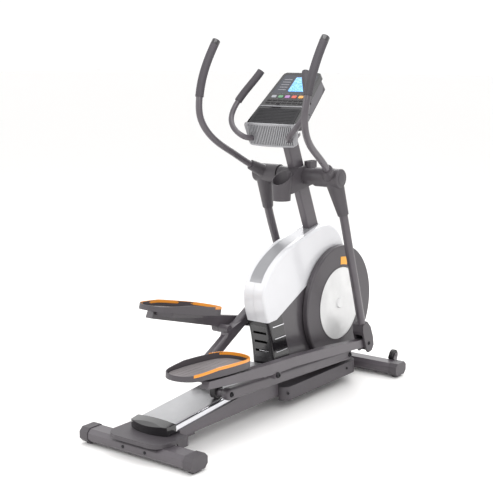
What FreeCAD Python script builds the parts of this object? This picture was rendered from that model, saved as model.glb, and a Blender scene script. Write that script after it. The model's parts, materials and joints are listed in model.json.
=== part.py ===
# Front-drive elliptical trainer, built as an assembly of separate pieces.
# Millimetres. +X points to the front (flywheel end), +Y to the user's left, +Z up.
# The origin is on the floor, midway between the two stabilizers.
import FreeCAD
import Part
import math
import os
from FreeCAD import Vector

# --- fits -------------------------------------------------------------------
RUNNING = 0.05        # radial clearance of a shaft in its bearing
CLEAR = 0.5           # gap between pieces that move past each other
SEAT = 0.1            # gap of a piece seated in a pocket of the same body

# --- floor stance -----------------------------------------------------------
STANCE = 1664.0               # between the stabilizer centre lines
STABILIZER_LENGTH = 632.0     # over the end caps
STABILIZER_WIDTH = 100.0
STABILIZER_HEIGHT = 60.0
STABILIZER_BOTTOM = 13.0      # tube underside above the floor
CAP_LENGTH = 46.0
CAP_WALL = 3.0
FOOT_WIDTH = 56.0
FOOT_LENGTH = 34.0

# --- base -------------------------------------------------------------------
BASE_BOTTOM = 62.0
BASE_TOP = 104.0
BASE_HALF_WIDTH = 112.0
FRAME_WALL = 4.0
COVER_HALF_WIDTH = 156.0
COVER_REAR = 8.0
COVER_FRONT = 655.0
COVER_BOTTOM = 48.0
COVER_TOP = 114.0
COVER_WALL = 3.0
REAR_COVER_FRONT = -715.0
REAR_COVER_REAR = -897.0
REAR_COVER_HALF_WIDTH = 158.0
REAR_COVER_TOP = 92.0
SIDE_PLATE_INNER = 27.0       # the two frame plates that carry crank and flywheel
SIDE_PLATE = 4.0

# --- ramp -------------------------------------------------------------------
RAMP_ANGLE = 5.33             # degrees, rising to the front
RAMP_DATUM_X = -460.0
RAMP_DATUM_Z = 157.6          # running surface above the floor at the datum
RAMP_HALF_WIDTH = 92.0
RAMP_REAR = -735.0
RAMP_FRONT = 30.0
RAMP_THICKNESS = 12.0
RAMP_CROWN = 1.2
RAMP_CROWN_HALF_WIDTH = 52.0
TRIM_WIDTH = 13.0
TRIM_DROP = 4.0
TRIM_HEIGHT = 27.0

# --- crank and linkage ------------------------------------------------------
CRANK_X = 571.0
CRANK_Z = 415.0
CRANK_RADIUS = 262.0
CRANK_ANGLE = -90.0           # right crank pin at rest, degrees above forward
AXLE_RADIUS = 10.0
ROLLER_ARM_LENGTH = 990.0     # crank pin to ramp roller
PEDAL_PIVOT_ALONG = 280.0     # pedal-arm pivot, from the roller axle
PEDAL_PIVOT_RISE = 42.0       # and above the roller-arm line
PEDAL_ARM_LENGTH = 791.0      # roller-arm pivot to swing-leg pivot
SWING_LENGTH = 942.0          # handlebar axle to swing-leg pivot
SWING_X = 324.0
SWING_Z = 1088.0
SWING_NEUTRAL = 22.1          # leg angle, forward of straight down, at mid stroke
ROLLER_RADIUS = 32.0

# --- layers outward from the symmetry plane ---------------------------------
SHROUD_HALF_WIDTH = 64.0
DISC_INNER = 70.0
DISC_OUTER = 98.0
ARM_INNER = 117.0
ARM_OUTER = 161.0
PEDAL_ARM_INNER = 172.0
PEDAL_ARM_OUTER = 210.0
PEDAL_CENTRE = 114.0
ROLLER_INNER = 60.0
ROLLER_OUTER = 90.0

# --- upright and handlebars -------------------------------------------------
UPRIGHT_LEAN = 23.3
UPRIGHT_WIDTH = 38.0
UPRIGHT_DEPTH = 84.0
UPRIGHT_WALL = 2.5
UPRIGHT_BELOW = 470.0         # along the post, below the handlebar axle
UPRIGHT_ABOVE = 285.0
PIVOT_RADIUS = 16.0
SLEEVE_RADIUS = 40.0
SLEEVE_INNER = 46.0
SLEEVE_OUTER = 105.0
HUB_INNER = 107.0
HUB_OUTER = 250.0
HUB_RADIUS = 46.0
BAR_RADIUS = 16.0
GRIP_RADIUS = 20.0
LEG_RADIUS = 21.0
LEG_INNER_RADIUS = 18.5


def vec(x, y, z):
    return Vector(x, y, z)


def block(x0, x1, y0, y1, z0, z1):
    lo = vec(min(x0, x1), min(y0, y1), min(z0, z1))
    return Part.makeBox(abs(x1 - x0), abs(y1 - y0), abs(z1 - z0), lo)


def rod(x, z, y0, y1, radius):
    """Cylinder along Y between two Y values."""
    start = min(y0, y1)
    return Part.makeCylinder(radius, abs(y1 - y0), vec(x, start, z), vec(0, 1, 0))


def prism(points, y0, y1):
    """Side-view outline (x, z) extruded across Y."""
    start = min(y0, y1)
    loop = [vec(x, start, z) for x, z in points]
    face = Part.Face(Part.makePolygon(loop + [loop[0]]))
    return face.extrude(vec(0, abs(y1 - y0), 0))


def slab(points, z0, z1):
    """Plan-view outline (x, y) extruded up."""
    loop = [vec(x, y, z0) for x, y in points]
    face = Part.Face(Part.makePolygon(loop + [loop[0]]))
    return face.extrude(vec(0, 0, z1 - z0))


def section(points, x0, x1):
    """End-view outline (y, z) extruded along X."""
    loop = [vec(x0, y, z) for y, z in points]
    face = Part.Face(Part.makePolygon(loop + [loop[0]]))
    return face.extrude(vec(x1 - x0, 0, 0))


def fuse(shapes):
    whole = shapes[0]
    if len(shapes) > 1:
        whole = whole.multiFuse(shapes[1:])
    return whole.removeSplitter()


def cut(shape, tools):
    for tool in tools:
        shape = shape.cut(tool)
    return shape.removeSplitter()


def rounded(shape, radius, along):
    """Rounds the edges that run along one direction."""
    edges = []
    for edge in shape.Edges:
        if len(edge.Vertexes) == 2 and edge.Curve.TypeId == "Part::GeomLine":
            way = edge.Vertexes[1].Point.sub(edge.Vertexes[0].Point)
            if abs(way.normalize().dot(along)) > 0.999:
                edges.append(edge)
    return shape.makeFillet(radius, edges)


def largest(shape):
    """The main solid, without slivers that a cut leaves free."""
    return max(shape.Solids, key=lambda solid: solid.Volume)


def mirrored(shape):
    """The same piece on the other side of the machine."""
    return shape.mirror(vec(0, 0, 0), vec(0, 1, 0))


def pair(shape):
    return Part.makeCompound([shape, mirrored(shape)])


def tube_path(points):
    curve = Part.BSplineCurve()
    curve.interpolate([vec(*p) for p in points])
    return curve


def swept(curve, first, last, radius):
    """Round bar along part of a curve, given as fractions of its parameter range."""
    low = curve.FirstParameter
    span = curve.LastParameter - low
    edge = curve.toShape(low + first * span, low + last * span)
    origin = curve.value(low + first * span)
    along = curve.tangent(low + first * span)[0]
    ring = Part.Wire(Part.makeCircle(radius, origin, along))
    return Part.Wire(edge).makePipeShell([ring], True, True)


def bar(x0, z0, x1, z1, y0, y1, height):
    """Straight bar with half-round ends between two points of the side view."""
    run = math.hypot(x1 - x0, z1 - z0)
    half = height / 2.0
    body = block(0, run, y0, y1, -half, half)
    body = fuse([body, rod(0, 0, y0, y1, half), rod(run, 0, y0, y1, half)])
    body.rotate(vec(0, 0, 0), vec(0, 1, 0), -math.degrees(math.atan2(z1 - z0, x1 - x0)))
    body.translate(vec(x0, 0, z0))
    return body


# --- linkage at rest --------------------------------------------------------
def ramp_height(x):
    return RAMP_DATUM_Z + math.tan(math.radians(RAMP_ANGLE)) * (x - RAMP_DATUM_X)


def roller_centre_height(x):
    lift = (ROLLER_RADIUS + CLEAR) / math.cos(math.radians(RAMP_ANGLE))
    return ramp_height(x) + lift


def crank_pin(side):
    angle = math.radians(CRANK_ANGLE + (0.0 if side < 0 else 180.0))
    x = CRANK_X + CRANK_RADIUS * math.cos(angle)
    return x, CRANK_Z + CRANK_RADIUS * math.sin(angle)


def roller_axle(pin):
    x = pin[0] - ROLLER_ARM_LENGTH
    for _ in range(60):
        drop = pin[1] - roller_centre_height(x)
        x = pin[0] - math.sqrt(ROLLER_ARM_LENGTH ** 2 - drop ** 2)
    return x, roller_centre_height(x)


def pedal_pivot(pin, axle):
    ux = (pin[0] - axle[0]) / ROLLER_ARM_LENGTH
    uz = (pin[1] - axle[1]) / ROLLER_ARM_LENGTH
    x = axle[0] + PEDAL_PIVOT_ALONG * ux - PEDAL_PIVOT_RISE * uz
    return x, axle[1] + PEDAL_PIVOT_ALONG * uz + PEDAL_PIVOT_RISE * ux


def leg_pivot(pivot):
    """Where the swing leg and the pedal arm meet, ahead of the pedal pivot."""
    dx = SWING_X - pivot[0]
    dz = SWING_Z - pivot[1]
    gap = math.hypot(dx, dz)
    along = (PEDAL_ARM_LENGTH ** 2 - SWING_LENGTH ** 2 + gap ** 2) / (2 * gap)
    across = math.sqrt(PEDAL_ARM_LENGTH ** 2 - along ** 2)
    x = pivot[0] + (along * dx + across * dz) / gap
    return x, pivot[1] + (along * dz - across * dx) / gap


def linkage(side):
    pin = crank_pin(side)
    axle = roller_axle(pin)
    pivot = pedal_pivot(pin, axle)
    foot = leg_pivot(pivot)
    return pin, axle, pivot, foot


def place(shape, side, origin, angle):
    """Moves a piece built about the origin, for the right side, to its place."""
    shape = shape.copy()
    shape.rotate(vec(0, 0, 0), vec(0, 1, 0), -angle)
    shape.translate(vec(origin[0], 0, origin[1]))
    return shape if side < 0 else mirrored(shape)


# --- floor stance -----------------------------------------------------------
def octagon(x, half_x, z0, z1, bevel):
    return [
        (x - half_x + bevel, z0),
        (x + half_x - bevel, z0),
        (x + half_x, z0 + bevel),
        (x + half_x, z1 - bevel),
        (x + half_x - bevel, z1),
        (x - half_x + bevel, z1),
        (x - half_x, z1 - bevel),
        (x - half_x, z0 + bevel),
    ]


def stabilizer(x):
    reach = STABILIZER_LENGTH / 2 - CAP_WALL
    top = STABILIZER_BOTTOM + STABILIZER_HEIGHT
    half = STABILIZER_WIDTH / 2
    wall = 3.0
    tube = prism(octagon(x, half, STABILIZER_BOTTOM, top, 17.0), -reach, reach)
    core = octagon(x, half - wall, STABILIZER_BOTTOM + wall, top - wall, 16.0)
    return tube.cut(prism(core, -reach, reach))


def end_cap(x):
    outer = STABILIZER_LENGTH / 2
    inner = outer - CAP_LENGTH
    top = STABILIZER_BOTTOM + STABILIZER_HEIGHT
    half = STABILIZER_WIDTH / 2
    z0 = STABILIZER_BOTTOM - CAP_WALL
    body = prism(octagon(x, half + CAP_WALL, z0, top + CAP_WALL, 18.0), -outer, -inner)
    z0 = STABILIZER_BOTTOM - SEAT
    hole = octagon(x, half + SEAT, z0, top + SEAT, 17.0)
    body = body.cut(prism(hole, -outer + CAP_WALL, -inner + 1))
    y0 = -inner - FOOT_LENGTH
    foot = block(x - FOOT_WIDTH / 2, x + FOOT_WIDTH / 2, y0, -inner - 4, 0, z0 - 1)
    foot = fuse([rounded(foot, 8.0, vec(0, 0, 1)), body])
    return foot


def floor_parts():
    rear = -STANCE / 2
    front = STANCE / 2
    other_bracket = mirrored(wheel_bracket())
    caps = []
    for x in (rear, front):
        caps.append(end_cap(x))
        caps.append(mirrored(end_cap(x)))
    return {
        "rear_stabilizer": stabilizer(rear),
        "front_stabilizer": fuse([stabilizer(front), wheel_bracket(), other_bracket]),
        "stabilizer_end_cap": Part.makeCompound(caps),
    }


# --- transport wheels -------------------------------------------------------
WHEEL_RADIUS = 30.0
WHEEL_WIDTH = 24.0
WHEEL_X = STANCE / 2 + 60.0
WHEEL_Z = 91.0
WHEEL_Y = 236.0


def wheel(side):
    half = WHEEL_WIDTH / 2
    y = side * WHEEL_Y
    tyre = rod(WHEEL_X, WHEEL_Z, y - half, y + half, WHEEL_RADIUS)
    tyre = tyre.makeFillet(4.0, tyre.Edges[:1] + tyre.Edges[2:3])
    return tyre.cut(rod(WHEEL_X, WHEEL_Z, y - half, y + half, 6.0 + RUNNING))


def wheel_bracket():
    """Fork of two ears on the front face, with the wheel's axle bolt."""
    face = STANCE / 2 + STABILIZER_WIDTH / 2
    shapes = [rod(WHEEL_X, WHEEL_Z, -WHEEL_Y - 20, -WHEEL_Y + 20, 6.0)]
    for y in (-WHEEL_Y - 18, -WHEEL_Y + 14):
        ear = [
            (face - 8, 71.0),
            (face, 62.0),
            (face, 32.0),
            (face + 6, 32.0),
            (WHEEL_X + 12, WHEEL_Z - 8),
            (WHEEL_X + 10, WHEEL_Z + 11),
            (WHEEL_X - 8, WHEEL_Z + 14),
            (face - 17, 80.0),
        ]
        shapes.append(prism(ear, y, y + 4))
    shapes.append(block(face, face + 4, -WHEEL_Y - 18, -WHEEL_Y + 18, 34, 54))
    return fuse(shapes)


# --- base frame -------------------------------------------------------------
FLYWHEEL_X = 168.0
FLYWHEEL_Z = 400.0
FLYWHEEL_RADIUS = 146.0
FLYWHEEL_AXLE = 8.0
SOCKET_WALL = 5.0


def along_post(distance, offset=0.0):
    """Point in the side view, up the post from the handlebar axle."""
    lean = math.radians(UPRIGHT_LEAN)
    x = SWING_X - distance * math.sin(lean) + offset * math.cos(lean)
    return x, SWING_Z + distance * math.cos(lean) + offset * math.sin(lean)


def post(low, high, half_depth, half_width):
    corners = [
        along_post(low, -half_depth),
        along_post(low, half_depth),
        along_post(high, half_depth),
        along_post(high, -half_depth),
    ]
    return prism(corners, -half_width, half_width)


def side_plate():
    """Frame plate beside the drive, from the base up to the post socket."""
    low = along_post(-UPRIGHT_BELOW, -UPRIGHT_DEPTH / 2)
    high = along_post(-UPRIGHT_BELOW, UPRIGHT_DEPTH / 2)
    outline = [
        (110.0, BASE_TOP - 6),
        (620.0, BASE_TOP - 6),
        (CRANK_X + 46, CRANK_Z + 20),
        (high[0] + 14, high[1] + 70),
        (low[0] - 6, low[1] + 90),
        (FLYWHEEL_X + 130, FLYWHEEL_Z + 76),
        (FLYWHEEL_X - 30, FLYWHEEL_Z + 42),
    ]
    return prism(outline, -SIDE_PLATE_INNER - SIDE_PLATE, -SIDE_PLATE_INNER)


def base_rail():
    """Sloped side rail that carries the ramp."""
    drop = (TRIM_DROP + TRIM_HEIGHT + SEAT) / math.cos(math.radians(RAMP_ANGLE))
    outline = [
        (REAR_COVER_FRONT + 1, 70.0),
        (COVER_REAR + 12, 70.0),
        (COVER_REAR + 12, BASE_TOP - 4),
        (COVER_REAR - 2, BASE_TOP - 4),
        (COVER_REAR - 2, ramp_height(COVER_REAR - 2) - drop),
        (REAR_COVER_FRONT + 1, ramp_height(REAR_COVER_FRONT + 1) - drop),
    ]
    inner = RAMP_HALF_WIDTH - 4
    rail = prism(outline, -BASE_HALF_WIDTH, -inner)
    wall = FRAME_WALL
    core = [
        (REAR_COVER_FRONT + 20, 70.0 + wall),
        (COVER_REAR - 10, 70.0 + wall),
        (COVER_REAR - 10, ramp_height(COVER_REAR - 10) - drop - wall),
        (REAR_COVER_FRONT + 20, ramp_height(REAR_COVER_FRONT + 20) - drop - wall),
    ]
    return rail.cut(prism(core, -BASE_HALF_WIDTH + wall, -inner - wall))


def base_frame():
    rear_face = -STANCE / 2 + STABILIZER_WIDTH / 2
    front_face = STANCE / 2 - STABILIZER_WIDTH / 2
    half = BASE_HALF_WIDTH
    shapes = [
        block(rear_face, -560, -66, 66, 34, 72).cut(
            block(rear_face + 4, -564, -62, 62, 38, 68)
        ),
        block(REAR_COVER_FRONT + 1, COVER_REAR + 12, -half + 4, half - 4, 70, 74),
        block(COVER_REAR + 6, COVER_FRONT - 6, -half, half, BASE_BOTTOM, BASE_TOP - 4),
    ]
    neck = [
        (COVER_FRONT - 8, 50.0),
        (COVER_FRONT - 8, BASE_TOP - 4),
        (COVER_FRONT + 40, BASE_TOP - 6),
        (front_face, 68.0),
        (front_face, 18.0),
        (front_face - 30, 30.0),
    ]
    hollow_neck = [
        (COVER_FRONT, 56.0),
        (COVER_FRONT, BASE_TOP - 10),
        (COVER_FRONT + 36, BASE_TOP - 12),
        (front_face - 6, 62.0),
        (front_face - 6, 28.0),
        (front_face - 26, 36.0),
    ]
    shapes.append(prism(neck, -58, 58).cut(prism(hollow_neck, -54, 54)))
    for x in (-600.0, -380.0, -160.0):
        top = ramp_height(x) - RAMP_THICKNESS - 24
        shapes.append(block(x, x + 5, -half + 10, half - 10, 72, top))
    for shape in (base_rail(), side_plate()):
        shapes.append(shape)
        shapes.append(mirrored(shape))
    boss = rod(CRANK_X, CRANK_Z, SIDE_PLATE_INNER, SIDE_PLATE_INNER + 20, 26.0)
    shapes.append(boss)
    shapes.append(mirrored(boss))
    low = -UPRIGHT_BELOW
    wall = SOCKET_WALL
    shapes.append(
        post(low - wall, low + 110, UPRIGHT_DEPTH / 2 + wall, SIDE_PLATE_INNER)
    )
    frame = fuse(shapes)
    hollow = block(
        COVER_REAR + 16, COVER_FRONT - 16, -half + 5, half - 5,
        BASE_BOTTOM + 4, BASE_TOP - 8,
    )
    tools = [
        hollow,
        post(low, low + 200, UPRIGHT_DEPTH / 2 + SEAT, UPRIGHT_WIDTH / 2 + SEAT),
        rod(CRANK_X, CRANK_Z, -60, 60, AXLE_RADIUS + RUNNING),
        rod(FLYWHEEL_X, FLYWHEEL_Z, -60, 60, FLYWHEEL_AXLE + RUNNING),
    ]
    return cut(frame, tools)


def base_cover():
    """Front base housing: open underneath, cut out for the frame and the drive."""
    w = COVER_HALF_WIDTH
    x0 = COVER_REAR
    x1 = COVER_FRONT
    shell = block(x0, x1, -w, w, COVER_BOTTOM, COVER_TOP)
    shell = rounded(shell, 44.0, vec(0, 0, 1))
    t = COVER_WALL
    core = block(x0 + t, x1 - t, -w + t, w - t, COVER_BOTTOM, COVER_TOP - t)
    core = rounded(core, 41.0, vec(0, 0, 1))
    half = BASE_HALF_WIDTH + CLEAR
    tools = [
        core,
        block(x0 - 1, x0 + 60, -half, half, COVER_BOTTOM - 1, BASE_TOP - 3),
        block(x1 - 60, x1 + 1, -58 - CLEAR, 58 + CLEAR, 0, BASE_TOP - 3),
        block(30, 628, -52, 52, BASE_TOP - 10, COVER_TOP + 1),
    ]
    return cut(shell, tools)


def rear_base_cover():
    w = REAR_COVER_HALF_WIDTH
    top = STABILIZER_BOTTOM + STABILIZER_HEIGHT
    body = block(
        REAR_COVER_REAR, REAR_COVER_FRONT, -w, w, top, REAR_COVER_TOP
    )
    edges = []
    for edge in body.Edges:
        point = edge.CenterOfMass
        if abs(point.x - REAR_COVER_REAR) < 1 and abs(abs(point.y) - w) < 1:
            edges.append(edge)
    body = body.makeFillet(70.0, edges)
    skirt = block(-STANCE / 2 + STABILIZER_WIDTH / 2, REAR_COVER_FRONT, -w, w, 46, top)
    skirt = skirt.cut(
        block(-STANCE, REAR_COVER_FRONT + 1, -w + 4, w - 4, 40, top)
    )
    return fuse([body, skirt])


# --- ramp -------------------------------------------------------------------
def on_ramp(shape):
    shape.rotate(vec(0, 0, 0), vec(0, 1, 0), -RAMP_ANGLE)
    shape.translate(vec(RAMP_DATUM_X, 0, RAMP_DATUM_Z))
    return shape


def ramp_parts():
    w = RAMP_HALF_WIDTH
    crown = RAMP_CROWN_HALF_WIDTH
    start = RAMP_REAR - RAMP_DATUM_X
    end = RAMP_FRONT - RAMP_DATUM_X
    loop = [vec(start, y, z) for y, z in ((crown, 0), (w, 0), (w, -RAMP_THICKNESS),
                                          (-w, -RAMP_THICKNESS), (-w, 0), (-crown, 0))]
    arc = Part.Arc(loop[-1], vec(start, 0, RAMP_CROWN), loop[0]).toShape()
    sides = Part.makePolygon(loop)
    face = Part.Face(Part.Wire(sides.Edges + [arc]))
    cover = face.extrude(vec(end - start, 0, 0))
    y0 = w + SEAT
    y1 = w + TRIM_WIDTH
    z1 = -TRIM_DROP
    z0 = z1 - TRIM_HEIGHT
    trim = block(start, end - 30, -y1, -y0, z0, z1)
    edges = []
    for edge in trim.Edges:
        point = edge.CenterOfMass
        if abs(point.y + y1) < 0.1 and abs(point.z - z1) < 0.1:
            edges.append(edge)
    trim = trim.makeFillet(8.0, edges)
    return {
        "ramp_cover": on_ramp(cover),
        "ramp_side_trim": pair(on_ramp(trim)),
        "ramp_end_cap": on_ramp(ramp_end_cap(start)),
    }


def ramp_end_cap(start):
    """Moulded rear stop: bowed back face, crowned top."""
    w = RAMP_HALF_WIDTH + TRIM_WIDTH + 3
    front = start - SEAT
    back = front - 52
    low = -TRIM_DROP - TRIM_HEIGHT - 2
    points = [vec(back, -w + 6, low), vec(front, -w, low), vec(front, w, low)]
    points.append(vec(back, w - 6, low))
    arc = Part.Arc(points[-1], vec(back - 24, 0, low), points[0]).toShape()
    face = Part.Face(Part.Wire(Part.makePolygon(points).Edges + [arc]))
    body = face.extrude(vec(0, 0, 12 - low))
    crown = Part.makeCylinder(
        900.0, 400.0, vec(back - 200, 0, 10.0 - 900.0), vec(1, 0, 0)
    )
    slope = prism(
        [(back - 60, -90), (front + 1, -90), (front + 1, 20), (back - 60, -4)], -w, w
    )
    return body.common(crown).common(slope)


# --- upright ----------------------------------------------------------------
HANDLE_CROSS = 234.0     # fixed handlebar crosses the post, up from the axle


def upright():
    half = UPRIGHT_DEPTH / 2
    tube = post(-UPRIGHT_BELOW, UPRIGHT_ABOVE, half, UPRIGHT_WIDTH / 2)
    tube = rounded(tube, 6.0, along_vector())
    core = post(
        -UPRIGHT_BELOW + 3, UPRIGHT_ABOVE + 1, half - UPRIGHT_WALL,
        UPRIGHT_WIDTH / 2 - UPRIGHT_WALL,
    )
    x, z = along_post(HANDLE_CROSS)
    tools = [
        core,
        rod(SWING_X, SWING_Z, -60, 60, PIVOT_RADIUS + RUNNING),
        rod(x, z, -60, 60, FIXED_BAR_RADIUS + RUNNING),
    ]
    return cut(tube, tools)


def along_vector():
    lean = math.radians(UPRIGHT_LEAN)
    return vec(-math.sin(lean), 0, math.cos(lean))


def pivot_axle():
    axle = rod(SWING_X, SWING_Z, -HUB_OUTER + 12, HUB_OUTER - 12, PIVOT_RADIUS)
    sleeve = rod(SWING_X, SWING_Z, SLEEVE_INNER, SLEEVE_OUTER, SLEEVE_RADIUS)
    return fuse([axle, sleeve, mirrored(sleeve)])


CUP_X = 186.0
CUP_RADIUS = 52.0
CUP_TOP = 1086.0
CUP_DEPTH = 108.0
CUP_SLANT = 62.0
CUP_WALL = 5.0


def cup_holder():
    """Moulded cover round the post and axle, with a cup well behind it."""
    height = CUP_DEPTH + CUP_SLANT
    low = CUP_TOP - CUP_DEPTH
    well = Part.makeCone(CUP_RADIUS - 9, CUP_RADIUS, height, vec(CUP_X, 0, low))
    reach = CUP_RADIUS + 40
    above = prism(
        [(CUP_X - reach, CUP_TOP - CUP_SLANT), (CUP_X + reach, CUP_TOP + CUP_SLANT),
         (CUP_X + reach, CUP_TOP + 200), (CUP_X - reach, CUP_TOP + 200)],
        -90, 90,
    )
    well = well.cut(above)
    collar = [
        (CUP_X + 10, CUP_TOP - 78),
        (SWING_X + 62, SWING_Z - 48),
        (SWING_X + 60, SWING_Z + 12),
        (SWING_X + 26, SWING_Z + 50),
        (SWING_X - 60, SWING_Z + 42),
        (CUP_X + 20, CUP_TOP + 4),
    ]
    body = prism(collar, -SLEEVE_INNER + 1, SLEEVE_INNER - 1)
    body = rounded(body, 10.0, vec(0, 1, 0))
    boss = rod(SWING_X, SWING_Z, -SLEEVE_INNER, SLEEVE_INNER, SLEEVE_RADIUS + 4)
    tray = block(SWING_X + 8, SWING_X + 84, -60, -24, SWING_Z + 24, SWING_Z + 70)
    tray = rounded(tray, 14.0, vec(0, 0, 1))
    shape = fuse([well, body, boss, tray])
    inner = Part.makeCone(
        CUP_RADIUS - 9 - CUP_WALL, CUP_RADIUS - CUP_WALL, height,
        vec(CUP_X, 0, low + CUP_WALL),
    )
    pocket = block(SWING_X + 13, SWING_X + 79, -55, -29, SWING_Z + 38, SWING_Z + 71)
    tools = [
        inner,
        rounded(pocket, 10.0, vec(0, 0, 1)),
        post(-300, 300, UPRIGHT_DEPTH / 2 + SEAT, UPRIGHT_WIDTH / 2 + SEAT),
        rod(SWING_X, SWING_Z, -60, 60, PIVOT_RADIUS + RUNNING),
        rod(SWING_X, SWING_Z, SLEEVE_INNER - SEAT, 120, SLEEVE_RADIUS + SEAT),
        rod(SWING_X, SWING_Z, -120, SEAT - SLEEVE_INNER, SLEEVE_RADIUS + SEAT),
    ]
    return cut(shape, tools)


# --- fixed handlebar --------------------------------------------------------
FIXED_BAR_RADIUS = 13.0
PULSE_RADIUS = 18.0
FIXED_HALF_SPAN = 136.0


def fixed_bar_curve():
    x, z = along_post(HANDLE_CROSS)
    w = FIXED_HALF_SPAN
    points = [
        (x, -36, z),
        (x - 4, -52, z - 1),
        (x - 46, -88, z - 8),
        (52, -w + 8, 1288),
        (34, -w - 38, 1330),
        (60, -w - 68, 1385),
        (88, -w - 68, 1427),
        (140, -w - 34, 1509),
        (192, -w + 8, 1590),
    ]
    return tube_path(points)


def fixed_handlebar():
    x, z = along_post(HANDLE_CROSS)
    middle = rod(x, z, -30, 30, FIXED_BAR_RADIUS)
    collar = rod(x, z, 24, 46, FIXED_BAR_RADIUS + 4)
    arm = swept(fixed_bar_curve(), 0.0, 0.985, FIXED_BAR_RADIUS)
    return fuse([middle, collar, mirrored(collar), arm, mirrored(arm)])


def pulse_grip():
    curve = fixed_bar_curve()
    outer = swept(curve, 0.70, 1.0, PULSE_RADIUS)
    inner = swept(curve, 0.70, 0.986, FIXED_BAR_RADIUS + SEAT)
    return outer.cut(inner)


# --- console ----------------------------------------------------------------
CONSOLE_ANGLE = 40.0
CONSOLE_X = 84.0
CONSOLE_Z = 1348.0
CONSOLE_LENGTH = 362.0
CONSOLE_LOW_HALF = 140.0
CONSOLE_TOP_HALF = 108.0
CONSOLE_FACE = 24.0
CONSOLE_BACK = 62.0
LENS_RECESS = 4.0
LENS_LOW = 212.0
LENS_HIGH = 346.0
LCD_HALF = 92.0


def console_half(v):
    share = v / CONSOLE_LENGTH
    return CONSOLE_LOW_HALF + (CONSOLE_TOP_HALF - CONSOLE_LOW_HALF) * share


def on_console(shape):
    """From face coordinates (x up the face, z out of it) to the machine."""
    shape.rotate(vec(0, 0, 0), vec(0, 1, 0), -CONSOLE_ANGLE)
    shape.translate(vec(CONSOLE_X, 0, CONSOLE_Z))
    return shape


def face_plate(v0, v1, inset, z0, z1, corner):
    low = console_half(v0) - inset
    top = console_half(v1) - inset
    plate = slab([(v0, -low), (v1, -top), (v1, top), (v0, low)], z0, z1)
    return rounded(plate, corner, vec(0, 0, 1)) if corner else plate


def console_housing():
    body = face_plate(0, CONSOLE_LENGTH, 0, -CONSOLE_FACE, 0, 22.0)
    tools = [face_plate(LENS_LOW, LENS_HIGH, 14 - SEAT, -LENS_RECESS, 1, 8.0)]
    tools.append(face_plate(8 - SEAT, 108 + SEAT, 10 - SEAT, -3, 1, 8.0))
    for index in range(KEY_COUNT):
        y = key_y(index)
        low = KEY_V - KEY_LENGTH / 2 - CLEAR
        high = KEY_V + KEY_LENGTH / 2 + CLEAR
        half = KEY_WIDTH / 2 + CLEAR
        tools.append(block(low, high, y - half, y + half, -KEY_WELL, 1))
    return on_console(cut(body, tools))


KEY_COUNT = 5
KEY_V = 190.0
KEY_LENGTH = 17.0
KEY_WIDTH = 27.0
KEY_PITCH = 39.0
KEY_STAND = 2.0        # key top above the face
KEY_WELL = 9.0
KEY_TRAVEL = 1.0


def key_y(index):
    return (index - (KEY_COUNT - 1) / 2) * KEY_PITCH


def console_key(index):
    y = key_y(index)
    half_v = KEY_LENGTH / 2
    half_y = KEY_WIDTH / 2
    floor = -KEY_WELL + KEY_TRAVEL + CLEAR
    key = block(KEY_V - half_v, KEY_V + half_v, y - half_y, y + half_y, floor, KEY_STAND)
    return on_console(rounded(key, 4.0, vec(0, 0, 1)))


def display_lens():
    lens = face_plate(LENS_LOW, LENS_HIGH, 14, -LENS_RECESS, -0.5, 8.0)
    return on_console(lens)


def shelf_pad():
    return on_console(face_plate(8, 108, 10, -3, 1.5, 8.0))


def console_back():
    """Rear shell of the console, over the top of the post."""
    low = -CONSOLE_FACE - CONSOLE_BACK
    body = face_plate(26, CONSOLE_LENGTH - 6, 8, low, -CONSOLE_FACE, 24.0)
    bevel = block(-40, 60, -200, 200, low - 60, low)
    bevel.rotate(vec(60, 0, low), vec(0, 1, 0), 36)
    body = on_console(body.cut(bevel))
    tools = [
        post(0, UPRIGHT_ABOVE + SEAT, UPRIGHT_DEPTH / 2 + SEAT, UPRIGHT_WIDTH / 2 + SEAT)
    ]
    return cut(body, tools)


def console_side_cover():
    """Silver cheek on each flank of the console, with three slanted slots."""
    low = -CONSOLE_FACE - CONSOLE_BACK + 8
    inner = console_half(300) - 8
    outline = [(50, low + 30), (110, low), (300, low + 6), (334, low + 24),
               (334, -CONSOLE_FACE), (50, -CONSOLE_FACE)]
    cheek = prism(outline, -inner - 24, -inner + 30)
    skin = face_plate(26, CONSOLE_LENGTH - 6, 8 - SEAT, low - 20, 1, 24.0)
    outer = face_plate(26, CONSOLE_LENGTH - 6, 2, low - 20, 1, 24.0)
    cheek = cheek.common(outer).cut(skin)
    for index in range(3):
        slot = block(96 + 16 * index, 101 + 16 * index, -200, 0, -66, -34)
        slot.rotate(vec(98 + 16 * index, 0, -50), vec(0, 1, 0), -28)
        cheek = cheek.cut(slot)
    return on_console(cheek)


GRILLE_HEIGHT = 88.0
GRILLE_DEPTH = 16.0
GRILLE_RISE = 24.0
GRILLE_SLOTS = 25


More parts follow.
